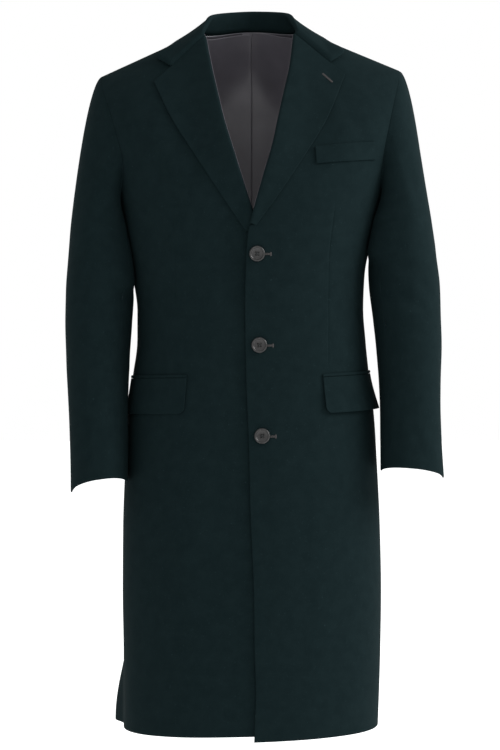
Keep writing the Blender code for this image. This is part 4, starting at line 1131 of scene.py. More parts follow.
# %% Charts of the sleeves
# height, distance of the middle, y of the middle, half width, half depth, front and back raised
SLEEVE = {
    -1: (
        (-0.285, 0.2370, -0.012, 0.0450, 0.0740, 0.000),
        (-0.330, 0.2345, -0.018, 0.0505, 0.0720, 0.000),
        (-0.380, 0.2348, -0.022, 0.0532, 0.0690, 0.000),
        (-0.430, 0.2365, -0.026, 0.0520, 0.0665, 0.000),
        (-0.480, 0.2370, -0.033, 0.0495, 0.0640, 0.001),
        (-0.535, 0.2360, -0.042, 0.0480, 0.0620, 0.003),
        (-0.585, 0.2345, -0.050, 0.0465, 0.0600, 0.006),
        (-0.640, 0.2335, -0.059, 0.0450, 0.0580, 0.010),
        (-0.683, 0.2330, -0.067, 0.0440, 0.0565, 0.0137),
    ),
    1: (
        (-0.280, 0.2390, -0.012, 0.0460, 0.0740, 0.000),
        (-0.325, 0.2384, -0.018, 0.0524, 0.0720, 0.000),
        (-0.375, 0.2414, -0.022, 0.0553, 0.0690, 0.000),
        (-0.425, 0.2450, -0.026, 0.0530, 0.0665, 0.000),
        (-0.475, 0.2480, -0.033, 0.0510, 0.0640, 0.001),
        (-0.525, 0.2490, -0.041, 0.0485, 0.0620, 0.003),
        (-0.570, 0.2495, -0.048, 0.0475, 0.0600, 0.005),
        (-0.620, 0.2500, -0.056, 0.0480, 0.0585, 0.008),
        (-0.668, 0.2510, -0.063, 0.0490, 0.0575, 0.0106),
    ),
}
SLEEVE_SQUARENESS = 2.2
CAP_START = (0.9, 0.35, 0.43)
CAP_START_DROP = 0.15
CAP_ROW_EASE = 1.2
CAP_START_REACH = 0.25
CAP_END_REACH = 0.95
CAP_SLIM = {1: 0.0063, -1: 0.0033}
# heights between which the front of a sleeve's inner side swells over the body, and by how much
INNER_SWELL = {1: (-0.262, -0.345, 0.012), -1: (-0.262, -0.385, 0.010)}
SWELL_FADE = 0.022
# the sleeve's top is set into the armhole's edge, as a sewn seam draws it
ARMHOLE_TUCK = 0.0008
ARMHOLE_SINK = 0.0004
ARMHOLE_MIDDLE = np.array([0.215, 0.0, -0.120])
CUFF_OUTER_DROP = 0.57
CAP_SLIM_EASE = 1.8
FOREARM_SEAM = 2 / 16
HINDARM_SEAM = 12 / 16
SLEEVE_MEETS_SIDE = -0.190
SLEEVE_CLEARANCE = 0.0025
SLEEVE_CLEARANCE_AT_POCKET = 0.0052
CLEARANCE_FADE = 0.03
CLEARANCE_PAST_FLAP = 0.04
SIDE_MEETING = 0.01
POCKET_MOUTH = {1: -0.5130, -1: -0.5150}
FLAP_DROP = 0.0550
SOFT_CONTACT = 0.0010
SOFT_CONTACT_SHARE = 0.7
SLEEVE_GIRTH = 0.38
SLEEVE_LENGTH = 0.66
SLEEVE_FACING = 0.040
RING_STEP = 0.004
SURFACE_STEP = 2e-4
# share round the sleeve from the underarm over the front, height, tilt from upright in degrees,
# half length, half width, depth inwards, bend, for the left sleeve and then the right one
SLEEVE_CREASES = {
    1: (
        (0.240, -0.395, 62.0, 0.055, 0.0100, 0.0022, 2.0),
        (0.205, -0.440, 74.0, 0.050, 0.0085, 0.0020, 1.5),
        (0.270, -0.355, 48.0, 0.060, 0.0110, 0.0016, 2.0),
        (0.300, -0.180, 18.0, 0.110, 0.0150, 0.0014, 0.5),
        (0.640, -0.300, -30.0, 0.090, 0.0130, 0.0020, -1.0),
        (0.690, -0.410, -66.0, 0.050, 0.0100, 0.0020, -1.5),
        (0.480, -0.560, 6.0, 0.090, 0.0150, 0.0011, 0.4),
        (0.250, -0.590, 22.0, 0.060, 0.0120, 0.0012, 0.8),
    ),
    -1: (
        (0.235, -0.410, 60.0, 0.060, 0.0105, 0.0023, 2.0),
        (0.215, -0.462, 76.0, 0.045, 0.0085, 0.0019, 1.5),
        (0.265, -0.350, 42.0, 0.065, 0.0120, 0.0017, 1.8),
        (0.310, -0.170, 14.0, 0.120, 0.0150, 0.0015, 0.4),
        (0.650, -0.310, -34.0, 0.085, 0.0130, 0.0021, -1.2),
        (0.680, -0.430, -70.0, 0.050, 0.0100, 0.0019, -1.5),
        (0.500, -0.600, 4.0, 0.080, 0.0150, 0.0011, 0.5),
    ),
}

# %% The sleeve's surface


def body_distance(y, z, side):
    """Distance of the body's side from the middle plane at a depth and height."""
    depth = np.where(y < 0, curve(BODY, 3, z), curve(BODY, 4, z))
    share = np.clip(np.abs(y) / depth, 0, 1)
    return half_width(side, z) * (1 - share ** SQUARENESS) ** (1 / SQUARENESS)


def sleeve_clearance(z):
    """How far a sleeve keeps off the body's side, more where it hangs over the pocket."""
    below = POCKET_MOUTH[1] - z
    past = CLEARANCE_PAST_FLAP + FLAP_DROP - below
    over = ease(below / CLEARANCE_FADE + 1) * ease(past / CLEARANCE_FADE)
    return SLEEVE_CLEARANCE + SLEEVE_CLEARANCE_AT_POCKET * over


def armhole_ring(side, around):
    """Points round the armhole's edge and their outward direction, around 0 to 1 from below."""
    climb = 1 - np.abs(2 * around - 1)
    halves = []
    for face in (-1, 1):
        x, z = armhole_edge(side, face, climb)
        halves.append(on_body(angle_at(side * x, z), z, face))
    in_front = around[..., None] <= 0.5
    place, outward = (np.where(in_front, front, back) for front, back in zip(*halves))
    return unlean(place), outward


def sleeve_ring(side, around, height):
    """Oval section of the sleeve at a height: squared a little, front and back raised."""
    turn = math.pi - 2 * math.pi * around
    mid_x, mid_y, half_x, half_y, rise = (curve(SLEEVE[side], k, height) for k in range(1, 6))
    x = mid_x + half_x * signed_power(np.cos(turn), 2 / SLEEVE_SQUARENESS)
    top, low, swell = INNER_SWELL[side]
    swell = swell * ease((top - height) / SWELL_FADE) * ease((height - low) / SWELL_FADE)
    x = x - swell * np.maximum(-np.cos(turn), 0) * np.maximum(np.sin(turn), 0) * 2
    y = mid_y - half_y * signed_power(np.sin(turn), 2 / SLEEVE_SQUARENESS)
    z = height + rise * np.abs(np.sin(turn)) - rise * CUFF_OUTER_DROP * np.cos(turn)
    return np.stack([side * x, y, z], axis=-1)


def sleeve_skin(side, around, down):
    """Outer face of a sleeve: a cubic from the armhole to the first ring, then the rings.

    around goes once round from the underarm over the front; down is 0 at the armhole, 1 at the
    first ring and 2 at the cuff.
    """
    turn = math.pi - 2 * math.pi * around
    start, cloth_out = armhole_ring(side, around % 1.0)
    before, after = (armhole_ring(side, (around + step) % 1.0)[0] for step in (-RING_STEP, RING_STEP))
    back = unit(np.cross(after - before, cloth_out))
    from_middle = start - ARMHOLE_MIDDLE * np.array([side, 1, 1])
    back = back * np.sign((from_middle * back).sum(-1, keepdims=True))
    start = start + back * ARMHOLE_TUCK - cloth_out * ARMHOLE_SINK
    heights = np.array([row[0] for row in SLEEVE[side]])
    first = sleeve_ring(side, around, heights[0] + 0 * around)
    reach = np.linalg.norm(first - start, axis=-1, keepdims=True)
    leave = unit(np.stack([side * CAP_START[0] + 0 * turn, -CAP_START[1] * np.sin(turn),
                           -CAP_START[2] - CAP_START_DROP * np.abs(np.sin(turn))], axis=-1))
    t = (np.clip(down, 0, 1) ** CAP_ROW_EASE)[..., None]
    cap = (start * (1 + 2 * t) * (1 - t) ** 2 + leave * reach * CAP_START_REACH * t * (1 - t) ** 2
           + first * t * t * (3 - 2 * t) + np.array([0, 0, 1]) * reach * CAP_END_REACH * t * t * (1 - t))
    outside = np.sin(math.pi * t[..., 0] ** CAP_SLIM_EASE) * np.maximum(np.cos(turn), 0)
    cap[..., 0] -= side * CAP_SLIM[side] * outside
    height = np.interp(down, 1 + np.arange(len(heights)) / (len(heights) - 1), heights)
    grid = np.where(down[..., None] < 1, cap, sleeve_ring(side, around, height))
    wide = body_distance(grid[..., 1], grid[..., 2], side) + sleeve_clearance(grid[..., 2])
    out = side * grid[..., 0]
    soft = SOFT_CONTACT * np.exp(-np.abs(out - wide) / SOFT_CONTACT) * SOFT_CONTACT_SHARE
    kept = np.maximum(out, wide) + soft
    meets = ease(down * 6) * ease((SLEEVE_MEETS_SIDE + SIDE_MEETING - grid[..., 2]) / SIDE_MEETING / 2)
    grid[..., 0] = side * (out + (kept - out) * meets)
    return lean(grid)


def sleeve_grid(side, around, down):
    """The sleeve's outer face with its creases, and its normals, from small steps over it."""
    around, down = np.meshgrid(around, down)
    step = SURFACE_STEP
    skin = sleeve_skin(side, around, down)
    across = sleeve_skin(side, around + step, down) - sleeve_skin(side, around - step, down)
    lower, upper = np.clip(down + step, 0, 2), np.clip(down - step, 0, 2)
    along = sleeve_skin(side, around, upper) - sleeve_skin(side, around, lower)
    normal = unit(np.cross(across, along)) * side
    table = [(row[0] * SLEEVE_GIRTH, *row[1:]) for row in SLEEVE_CREASES[side]]
    lift = crease_lift(table, around * SLEEVE_GIRTH, skin[..., 2]) * ease(down * 4)
    return skin + normal * lift[..., None], normal


# %% Make the sleeves
SLEEVE_LINES = 120
TOP_SLEEVE_LINES = 84
UNDER_SLEEVE_LINES = 46


def make_sleeve(side):
    """Both pieces of a sleeve, between the forearm seam and the hindarm seam."""
    down = 2 - 2 * with_edges(SLEEVE_LINES, SLEEVE_LENGTH)
    spans = {"top_sleeve": (FOREARM_SEAM, HINDARM_SEAM, TOP_SLEEVE_LINES),
             "under_sleeve": (HINDARM_SEAM, 1 + FOREARM_SEAM, UNDER_SLEEVE_LINES)}
    for part, (first, last, lines) in spans.items():
        around = first + (last - first) * with_edges(lines, SLEEVE_GIRTH * (last - first))
        grid, normal = sleeve_grid(side, around, down)
        grid[:, 0] += unit(grid[:, 1] - grid[:, 0]) * SEAM / 2
        grid[:, -1] += unit(grid[:, -2] - grid[:, -1]) * SEAM / 2
        lined = grid[..., 2] > grid[0, :, 2].max() + SLEEVE_FACING
        grid, normal, lined = turn_for_side(side, grid, normal, lined)
        name = part + "_" + SIDE_NAME[side]
        thing = cloth("cloth_" + name, grid, normal, SLEEVE_CLOTH, lined=lined)
        finish_cloth(thing, grid, name, (WOOL, SATIN))


for side in (1, -1):
    make_sleeve(side)

# %% [markdown]
# ## Pockets
# Each side pocket has a mouth edged by a narrow folded strip, the jet, and a flap that hangs
# from it. The flap is doubled cloth with a rounded corner towards the front, and it stands a
# little off the coat at its lower edge, more on the left one. A welt edges the breast pocket.

# %% Make the flaps and jets
POCKET_INNER = {1: 0.1105, -1: 0.0960}
# how much higher each mouth is at its side end, and lower at its front end
POCKET_SLANT = {1: (0.0010, 0.0040), -1: (0.0, 0.0)}
JET_GAP = 0.0005
POCKET_END_ANGLE = math.radians(83)
JET_HEIGHT = 0.0045
FLAP_CORNER = 0.010
POCKET_GAP = 0.0007
FLAP_STANDS_OFF = {1: 0.0075, -1: 0.0014}
FLAP_INNER_SHARE = 0.4
FLAP_CURL = 1.5
FLAP_LINES = 60
FLAP_WIDTH = 0.11
# shares across a flap that its rounded corner takes, with lines of its own
CORNER_SHARES = (0.02, 0.11, 9)
FLAP_ROWS = 30
JET_ROWS = 6
JET_CROWN = 0.0004


def make_pocket(side):
    """A flap whose lower edge follows a quarter circle at its front corner, and the jet above it."""
    name = SIDE_NAME[side]
    mouth = POCKET_MOUTH[side]
    inner = float(np.abs(angle_at(side * POCKET_INNER[side], mouth)))
    share = np.sort(np.concatenate([with_edges(FLAP_LINES, FLAP_WIDTH), np.linspace(*CORNER_SHARES)]))
    angle = inner + (POCKET_END_ANGLE - inner) * share
    place = body_skin(side * angle, mouth + 0 * angle, -1)
    run = run_along(place[None], 1)[0]
    rise = FLAP_CORNER - np.sqrt(FLAP_CORNER ** 2 - np.clip(FLAP_CORNER - run, 0, None) ** 2)
    down = 1 - with_edges(FLAP_ROWS, FLAP_DROP)[:, None]
    high, low = POCKET_SLANT[side]
    mouth = mouth + high - (high + low) * (1 - run / run[-1])
    z = mouth - down * (FLAP_DROP - rise[None, :])
    along = FLAP_INNER_SHARE + (1 - FLAP_INNER_SHARE) * run / run[-1]
    off = POCKET_GAP + FLAP_STANDS_OFF[side] * down ** FLAP_CURL * along
    angles = side * angle[None, :] + 0 * z
    grid, normal = on_body(angles, z, -1, off + POCKET_CLOTH)
    grid, normal = turn_for_side(side, grid, normal)
    flap = cloth("cloth_pocket_flap_" + name, grid, normal, POCKET_CLOTH)

    up = with_edges(JET_ROWS, JET_HEIGHT * 2)[:, None]
    z = mouth + JET_GAP + JET_HEIGHT * up
    lift = POCKET_GAP + POCKET_CLOTH + JET_CROWN * np.sin(math.pi * up) + 0 * z
    jet_sheet = turn_for_side(side, *on_body(side * angle[None, :] + 0 * z, z, -1, lift))
    jet = cloth("cloth_pocket_jet_" + name, *jet_sheet, POCKET_CLOTH)
    dress(jet, "pocket_jet_" + name, (WOOL,))
    finish_cloth(flap, grid, "pocket_flap_" + name, (WOOL,))


for side in (1, -1):
    make_pocket(side)

# %% Make the breast welt
WELT_GAP = 0.0009
WELT_SIZE = (0.09, 0.027)
WELT_LINES = 44
WELT_ROWS = 16
# corners as distance and height: top inner, top outer, low outer, low inner
WELT = ((0.0990, -0.1661), (0.1903, -0.1575), (0.1925, -0.1850), (0.1008, -0.1930))
top_in, top_out, low_out, low_in = (np.array(corner) for corner in WELT)
u = with_edges(WELT_LINES, WELT_SIZE[0])[None, :, None]
v = with_edges(WELT_ROWS, WELT_SIZE[1])[:, None, None]
place = (low_in + (low_out - low_in) * u) * (1 - v) + (top_in + (top_out - top_in) * u) * v
x, z = place[..., 0], place[..., 1]
welt_grid, welt_normal = on_body(angle_at(x, z), z, -1, WELT_GAP + POCKET_CLOTH + 0 * x)
welt = cloth("cloth_breast_welt", welt_grid, welt_normal, POCKET_CLOTH)
finish_cloth(welt, welt_grid, "breast_welt", (WOOL,))

# %% [markdown]
# ## Back lining
# In the neck opening the lining of the back shows, with a pleat down the middle that gives when
# the wearer moves. One layer of satin folds over at the pleat's edge, runs back under and turns
# again, so the section across is a flat Z.

# %% Make the lining
LINING_HALF_WIDTH = 0.140
LINING_FOOT = -0.360
LINING_GAP = 0.0020
LINING_BELOW_NECK = 0.0003
LINING_RISE_AT_NECK = 0.0022
LINING_BELOW_SHOULDER = 0.012
LINING_EASES_OFF = 0.020
PLEAT_DEPTH = 0.014
PLEAT_GAP = 0.0011
PLEAT_EDGE = 0.002
PLEAT_FLAT = 0.012
LINING_RISE = 0.050
LINING_LINES = 34
PLEAT_BEND_LINES = 9
PLEAT_LINES = 5
PLEAT_RETURN = -0.010


def lining_path(lines):
    """Section across the lining: distance from the middle, and how far it lies outwards."""
    step = LINING_CLOTH + PLEAT_GAP
    back_fold = PLEAT_EDGE - PLEAT_DEPTH
    bend = np.linspace(math.pi / 2, -math.pi / 2, PLEAT_BEND_LINES)
    flat = np.linspace(-LINING_HALF_WIDTH, -PLEAT_FLAT, lines)
    over = np.linspace(-PLEAT_FLAT, PLEAT_EDGE, PLEAT_LINES)[1:-1]
    under = np.linspace(PLEAT_EDGE, back_fold, PLEAT_LINES)[1:-1]
    again = np.linspace(PLEAT_RETURN, 0, PLEAT_LINES)
    wide = np.linspace(0.0, LINING_HALF_WIDTH, lines)[1:]
    return np.concatenate([
        np.stack([flat, 0 * flat], axis=1),
        np.stack([over, 0 * over], axis=1),
        np.stack([PLEAT_EDGE + step / 2 * np.cos(bend), step / 2 * (1 - np.sin(bend))], axis=1),
        np.stack([under, step + 0 * under], axis=1),
        np.stack([back_fold - step / 2 * np.cos(bend), step / 2 * (3 - np.sin(bend))], axis=1),
        np.stack([again, 2 * step + 0 * again], axis=1),
        np.stack([wide, 2 * step * (1 - ease((wide - PLEAT_FLAT) / LINING_RISE))], axis=1),
    ])


path = lining_path(LINING_LINES)
low, share = back_rows()
low = low[low > LINING_FOOT]
x = path[:, 0] + np.zeros((len(low) + len(share), 1))
level = path[:, 1] + 0 * x
past_neck = ease((np.abs(x) - NECK_POINT) / LINING_EASES_OFF) * LINING_BELOW_SHOULDER
middle_rise = LINING_RISE_AT_NECK * (1 - np.minimum(np.abs(x) / NECK_POINT, 1) ** 2)
near_top = np.linspace(0, 1, len(x))[:, None] ** 2
z = back_heights(np.abs(x), low, share) - near_top * (LINING_BELOW_NECK + past_neck - middle_rise)
depth = BODY_CLOTH + LINING_GAP + LINING_CLOTH / 2 + 2 * (LINING_CLOTH + PLEAT_GAP) - level
lining_mid = on_body(angle_at(x, z), z, 1, -depth)[0]
lining_normal = -grid_normals(lining_mid)
lining_grid = (lining_mid + lining_normal * LINING_CLOTH / 2)[:, ::-1]
lining = cloth("cloth_back_lining", lining_grid, lining_normal[:, ::-1], LINING_CLOTH)
finish_cloth(lining, lining_grid, "back_lining",
             (SATIN,))

# %% [markdown]
# ## Buttons
# Three horn buttons close the coat. Each is turned on a lathe: a raised rim with a round edge, a
# dished middle and four holes. The disc is a polar grid whose height is the lathe's profile less
# four deep bells for the holes, and the stitches cross between them.

# %% Horn and thread
HORN_DARK = (0.0060, 0.0060, 0.0062)
HORN_LIGHT = (0.0170, 0.0168, 0.0170)
THREAD_COLOUR = (0.010, 0.013, 0.014)
STITCH_COLOUR = (0.017, 0.015, 0.015)


def horn(name):
    """Dark grey horn: stretched clouds of two tones, polished to a satin gloss."""
    material, tree, shader = new_material(
        name, Roughness=0.30, Specular_IOR_Level=0.38, Coat_Weight=0.15, Coat_Roughness=0.25)
    turned = stretched(tree, object_place(tree), (1.0, 1.0, 0.45), (0.0, 0.5, 0.0))
    clouds = sharpen(tree, noise(tree, turned, 180.0, 5.0, 0.6), 0.34, 0.66)
    tree.links.new(mix(tree, clouds, HORN_DARK, HORN_LIGHT), shader.inputs["Base Color"])
    return material


def thread(name, colour):
    """Twisted thread: fine noise in the colour and the bump, matte."""
    material, tree, shader = new_material(name, Roughness=0.75)
    grain = noise(tree, object_place(tree), 2500.0, 2.0)
    dark = tuple(c * 0.6 for c in colour)
    tree.links.new(mix(tree, grain, dark, colour), shader.inputs["Base Color"])
    bump(tree, shader, grain, 0.4, 0.0001)
    return material


HORN = horn("button_horn")
THREAD = thread("button_thread", THREAD_COLOUR)
STITCH = thread("buttonhole_silk", STITCH_COLOUR)

# %% Make the buttons
BUTTON_DIAMETER = 0.0240
BUTTON_THICKNESS = 0.0042
BUTTON_GAP = 0.0004
BUTTONS = {"top": (0.0108, -0.3282), "middle": (0.0141, -0.4669), "bottom": (0.0182, -0.6047)}
# share of the radius, height of the face as a share of the thickness
BUTTON_FACE = (
    (0.00, 0.50),
    (0.40, 0.50),
    (0.60, 0.56),
    (0.72, 0.68),
    (0.79, 0.93),
    (0.86, 1.00),
    (0.94, 0.92),
    (1.00, 0.60),
)
HOLE_OUT = 0.0027
HOLE_RADIUS = 0.00130
HOLE_DEPTH = 0.0019
BUTTON_TURNS = 96
# rings of the face, from one share of the radius to another, closer where the holes are
BUTTON_RINGS = ((0.02, 0.40, 34), (0.42, 1.0, 32))
HOLE_CORNER = HOLE_OUT / math.sqrt(2)
# shares of a hole's radius where its wall starts, and over which it falls
HOLE_WALL = (1.15, 0.35)
BUTTON_EDGE_RINGS = 9
EDGE_POWER = 1.5
BACK_ROUNDS_IN = 0.45
THREAD_RADIUS = 0.00024
# stitches: beside each other, one way over the other, off the face, arch, and dive into the holes
STITCH_SPREAD = 0.00042
STITCH_CROSSES = 0.00035
STITCH_LIFT = 0.0003
STITCH_ARCH = 0.0004
STITCH_DIVE = 0.0012
STITCH_DIVE_POWER = 8
STITCH_POINTS = 13
TUBE_END_SHARE = 0.2


def button_frame(x, z, lift):
    """Centre and the right, up and outward directions for a small thing that lies on the front."""
    outward = unit(on_front(x, z, 0.02) - on_front(x, z))
    right = unit(np.cross([0, 0, 1.0], outward))
    return on_front(x, z, lift), right, np.cross(outward, right), outward


def turned_button():
    """Points and faces of a button about its own middle: face rings, round edge and flat back."""
    shares = np.concatenate([np.linspace(*rings_between) for rings_between in BUTTON_RINGS])
    turn = np.linspace(0, 2 * math.pi, BUTTON_TURNS, endpoint=False)
    radius = shares[:, None] * BUTTON_DIAMETER / 2
    px, pz = radius * np.cos(turn), radius * np.sin(turn)
    height = curve(BUTTON_FACE, 1, shares)[:, None] * BUTTON_THICKNESS + 0 * px
    for hx, hz in ((1, 1), (-1, 1), (-1, -1), (1, -1)):
        near = np.hypot(px - hx * HOLE_CORNER, pz - hz * HOLE_CORNER) / HOLE_RADIUS
        height = height - HOLE_DEPTH * ease((HOLE_WALL[0] - near) / HOLE_WALL[1])
    rim = np.linspace(0, 1, BUTTON_EDGE_RINGS)[1:, None]
    back_r = (1 - BACK_ROUNDS_IN * rim ** 2) * BUTTON_DIAMETER / 2
    back_h = (1 - rim) ** EDGE_POWER * BUTTON_FACE[-1][1] * BUTTON_THICKNESS
    px = np.concatenate([px, back_r * np.cos(turn)])
    pz = np.concatenate([pz, back_r * np.sin(turn)])
    height = np.concatenate([height, back_h + 0 * turn])
    first = np.arange(BUTTON_TURNS)
    ends = [first.tolist(), (px.size - 1 - first).tolist()]
    return np.stack([px, pz, height], -1).reshape(-1, 3), ring_faces(*px.shape), ends


def make_button(name, x, z):
    """A button in its place, facing straight out of the front."""
    local, quads, ends = turned_button()
    centre, right, up, outward = button_frame(x, z, BUTTON_GAP)
    points = centre + local[:, :1] * right + local[:, 1:2] * up + local[:, 2:] * outward
    thing = put_mesh("horn_button_" + name, points, quads.tolist() + ends)
    dress(thing, "button_" + name, (HORN,))


def rings(line, first, second, radius, sides):
    """Rings of points about a line, in the plane of two directions."""
    turn = np.linspace(0, 2 * math.pi, sides, endpoint=False)[None, :, None]
    ring = first[:, None] * np.cos(turn) + second[:, None] * np.sin(turn)
    return (line[:, None] + ring * radius[:, None, None]).reshape(-1, 3)


def tube(points, radius, sides=8):
    """Points and faces of a round tube along a path, closed at both ends by narrowing rings."""
    along = unit(np.gradient(points, axis=0))
    side = unit(np.cross(along, np.array([0.31, 0.52, 0.79])))
    width = np.full(len(points), radius)
    width[[0, -1]] = radius * TUBE_END_SHARE
    skin = rings(points, side, np.cross(along, side), width, sides)
    quads = np.roll(ring_faces(len(points), sides)[:, ::-1], 1, axis=1)
    first = np.arange(sides)
    caps = [first[::-1].tolist(), (len(skin) - sides + first).tolist()]
    return skin, quads.tolist() + caps


def join_parts(name, parts, material):
    """One mesh object from several lists of points and faces."""
    faces, start = [], 0
    for part_points, part_faces in parts:
        faces += [[index + start for index in face] for face in part_faces]
        start += len(part_points)
    thing = put_mesh(name, np.concatenate([part[0] for part in parts]), faces)
    dress(thing, None, (material,))


def button_stitches(name, x, z):
    """Crossed stitches between the holes, three threads each way, arched over the dished face."""
    centre, right, up, outward = button_frame(x, z, BUTTON_GAP)
    t = np.linspace(-1, 1, STITCH_POINTS)[:, None]
    arch = STITCH_ARCH * (1 - t ** 2) - STITCH_DIVE * t ** STITCH_DIVE_POWER
    parts = []
    for turn, level in ((1, 0.0), (-1, STITCH_CROSSES)):
        for spread in (-STITCH_SPREAD, 0.0, STITCH_SPREAD):
            across = (t * HOLE_CORNER + spread) * right
            along = (t * HOLE_CORNER - spread) * turn * up
            rise = BUTTON_FACE[0][1] * BUTTON_THICKNESS + STITCH_LIFT + level + arch
            parts.append(tube(centre + across + along + rise * outward, THREAD_RADIUS))
    join_parts("button_stitches_" + name, parts, THREAD)


for name, (x, z) in BUTTONS.items():
    make_button(name, x, z)
    button_stitches(name, x, z)
print("buttons:", len(BUTTONS))

# %% [markdown]
# ## Buttonholes
# Each buttonhole is a slit closed round by purl stitches in silk. Beside a fastened button only
# its inner half shows. The stitching is a rope carried round a long narrow loop, and the
# rope's radius swells once for each stitch. The left lapel has one too, for a flower.

# %% Make the buttonholes
BAR_WIDTH = 0.00143
END_WIDTH = 0.00078
PURL_PITCH = 0.00085
PURL_RADIUS = 0.00075
PURL_SWELL = 0.22
PURL_SIDES = 10
PURL_STEPS = 6
PURL_FLATNESS = 0.6
PURL_LIFT = 0.0003


def purl_loop(place_on, length, width):
    """A stitched loop: a stadium of the length and width, carried on a surface.

    place_on turns along and across measures into a point that lies on the cloth.
    """
    straight = length - width
    perimeter = 2 * straight + math.pi * width
    s = np.arange(0, perimeter, PURL_PITCH / PURL_STEPS)
    half_turn = math.pi * width / 2
    on_top = s < straight
    on_end = (s >= straight) & (s < straight + half_turn)
    on_low = (s >= straight + half_turn) & (s < 2 * straight + half_turn)
    end = (s - straight) / (width / 2)
    start = (s - 2 * straight - half_turn) / (width / 2)
    along = np.select([on_top, on_end, on_low],
                      [s - straight / 2, straight / 2 + width / 2 * np.sin(end),
                       straight * 1.5 + half_turn - s], -straight / 2 - width / 2 * np.sin(start))
    across = np.select([on_top, on_end, on_low],
                       [width / 2 + 0 * s, width / 2 * np.cos(end), -width / 2 + 0 * s],
                       -width / 2 * np.cos(start))
    line = place_on(along, across)
    way = unit(np.roll(line, -1, axis=0) - np.roll(line, 1, axis=0))
    outward = unit(place_on(along, across, 0.002) - line)
    aside = unit(np.cross(way, outward))
    radius = PURL_RADIUS * (1 + PURL_SWELL * np.abs(np.sin(math.pi * s / PURL_PITCH)))
    skin = rings(line, aside, outward * PURL_FLATNESS, radius, PURL_SIDES)
    return skin, ring_faces(len(s), PURL_SIDES, closed=True).tolist()


def lay_on_left(x, z, tilt, height=None):
    """A function that lays along and across measures about a point, on the front or on the lapel."""
    def place(along, across, lift=0.0):
        """A point that lies on the cloth, or stands a lift over it."""
        px = x + along * math.cos(tilt) - across * math.sin(tilt)
        pz = z + along * math.sin(tilt) + across * math.cos(tilt)
        base = 0.0 if height is None else height(px, pz)
        return on_front(px, pz, base + PURL_LIFT + lift)
    return place


def left_lapel_height(px, pz):
    """Height of the left lapel's upper face over the front, the mean of the places nearest."""
    places, lifts = lapel_places[1]
    leaf = slice(INSET_STEPS + FOLD_STEPS, None)
    places, lifts = places[:, leaf].reshape(-1, 2), lifts[:, leaf].reshape(-1)
    nearest = np.argmin((px[:, None] - places[:, 0]) ** 2 + (pz[:, None] - places[:, 1]) ** 2, axis=1)
    return lifts[nearest].mean() + LAPEL_CLOTH / 2


# along from the button's middle, tilt in degrees, length, width: the bar and the short end
BUTTONHOLE = ((0.0125, 1.0, 0.0160, BAR_WIDTH), (0.0208, 90.0, 0.0046, END_WIDTH))
BUTTONHOLE_DROP = 0.0010
LAPEL_HOLE = ((0.1123, -0.0495), (0.1268, -0.0631))
for name, (x, z) in BUTTONS.items():
    loops = [purl_loop(lay_on_left(x + ahead, z - BUTTONHOLE_DROP, math.radians(tilt)), length, width)
             for ahead, tilt, length, width in BUTTONHOLE]
    join_parts("buttonhole_" + name, loops, STITCH)
(x0, z0), (x1, z1) = LAPEL_HOLE
on_lapel = lay_on_left((x0 + x1) / 2, (z0 + z1) / 2, math.atan2(z1 - z0, x1 - x0), left_lapel_height)
bar = purl_loop(on_lapel, math.hypot(x1 - x0, z1 - z0), BAR_WIDTH)
join_parts("buttonhole_lapel", [bar], STITCH)
print("buttonholes: 4")

# %% [markdown]
# ## Piping
# A fine satin cord is caught along the roll of each lapel, from the tip of the neck opening up to
# the line where the collar's stand begins. The back lining's own edge takes over from there.

# %% Make the piping
PIPING_COLOUR = (0.085, 0.071, 0.088)
PIPING_RADIUS = 0.0004
PIPING_FOOT = -0.262
PIPING_TOP = 0.024
PIPING_ON_COLLAR = slice(2, 12)
PIPING = thread("neck_piping", PIPING_COLOUR)
cords = []
for side in (1, -1):
    line = np.concatenate([roll_paths[side], collar_grid[ROLL_LINE_AT][::-side][PIPING_ON_COLLAR]])
    line = line[(line[:, 2] > PIPING_FOOT) & (line[:, 2] < PIPING_TOP)]
    cords.append(tube(line, PIPING_RADIUS))
    print("piping: %.3f m" % np.linalg.norm(np.diff(line, axis=0), axis=1).sum())
join_parts("neck_piping", cords, PIPING)

# %% [markdown]
# ## Stage, light and camera
# The coat is shown as in a shop's picture, on white, seen straight on from the height of its
# middle. The world is an even white, which fills the shadows. Two soft lamps at the wearer's left,
# a large one and a small one near the sleeve, make that side lighter.

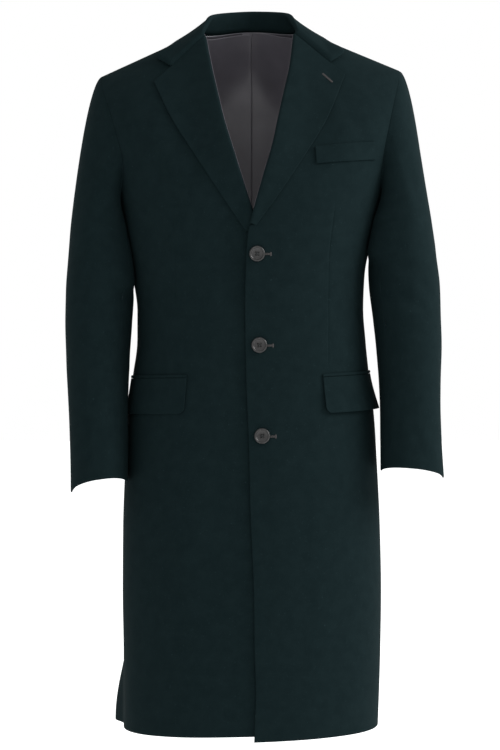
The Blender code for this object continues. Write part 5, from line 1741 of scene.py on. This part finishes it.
# %% Stage, light and camera
FLOOR_HEIGHT = -1.48
CAMERA_DISTANCE = 3.6
CAMERA_HEIGHT = -0.512
PICTURE_HEIGHT = 750 * 0.001575
SENSOR = 36.0
FLOOR_HALF = 30.0
WHITE = (1.0, 1.0, 1.0, 1.0)

corners = [[-1, -1], [1, -1], [1, 1], [-1, 1]]
floor_points = np.array([[FLOOR_HALF * x, FLOOR_HALF * y, FLOOR_HEIGHT] for x, y in corners])
floor = put_mesh("studio_floor", floor_points, [[0, 1, 2, 3]])
paper = new_material("studio_paper", Base_Color=(0.90, 0.90, 0.90, 1.0), Roughness=1.0,
                     Emission_Color=WHITE, Emission_Strength=0.35)[0]
floor.data.materials.append(paper)

world = bpy.data.worlds.new("studio")
world.use_nodes = True
set_values(world.node_tree.nodes["Background"], {"Color": WHITE, "Strength": 1.0})
bpy.context.scene.world = world
bpy.context.scene.view_settings.view_transform = "Standard"


def soft_lamp(name, place, target, size, power):
    """A square area lamp that looks at a target."""
    lamp = bpy.data.lights.new(name, "AREA")
    set_values(lamp, {"size": size, "energy": power})
    thing = bpy.data.objects.new(name, lamp)
    way = np.array(target, float) - np.array(place, float)
    flat = math.hypot(way[0], way[1])
    thing.rotation_euler = (math.atan2(flat, -way[2]), 0.0, math.atan2(-way[0], way[1]))
    thing.location = place
    bpy.context.scene.collection.objects.link(thing)


soft_lamp("key", (4.6, -0.9, 2.2), (0, 0, -0.30), 2.6, 275.0)
soft_lamp("sleeve", (2.1, -0.20, 0.45), (0.26, -0.05, -0.32), 0.9, 20.0)

camera_data = bpy.data.cameras.new("camera")
camera_data.sensor_width = SENSOR
camera_data.lens = SENSOR * CAMERA_DISTANCE / PICTURE_HEIGHT
camera = bpy.data.objects.new("camera", camera_data)
camera.location = (0.0, -CAMERA_DISTANCE, CAMERA_HEIGHT)
camera.rotation_euler = (math.radians(90), 0.0, 0.0)
bpy.context.scene.collection.objects.link(camera)
bpy.context.scene.camera = camera
print("camera lens: %.2f mm" % camera_data.lens)
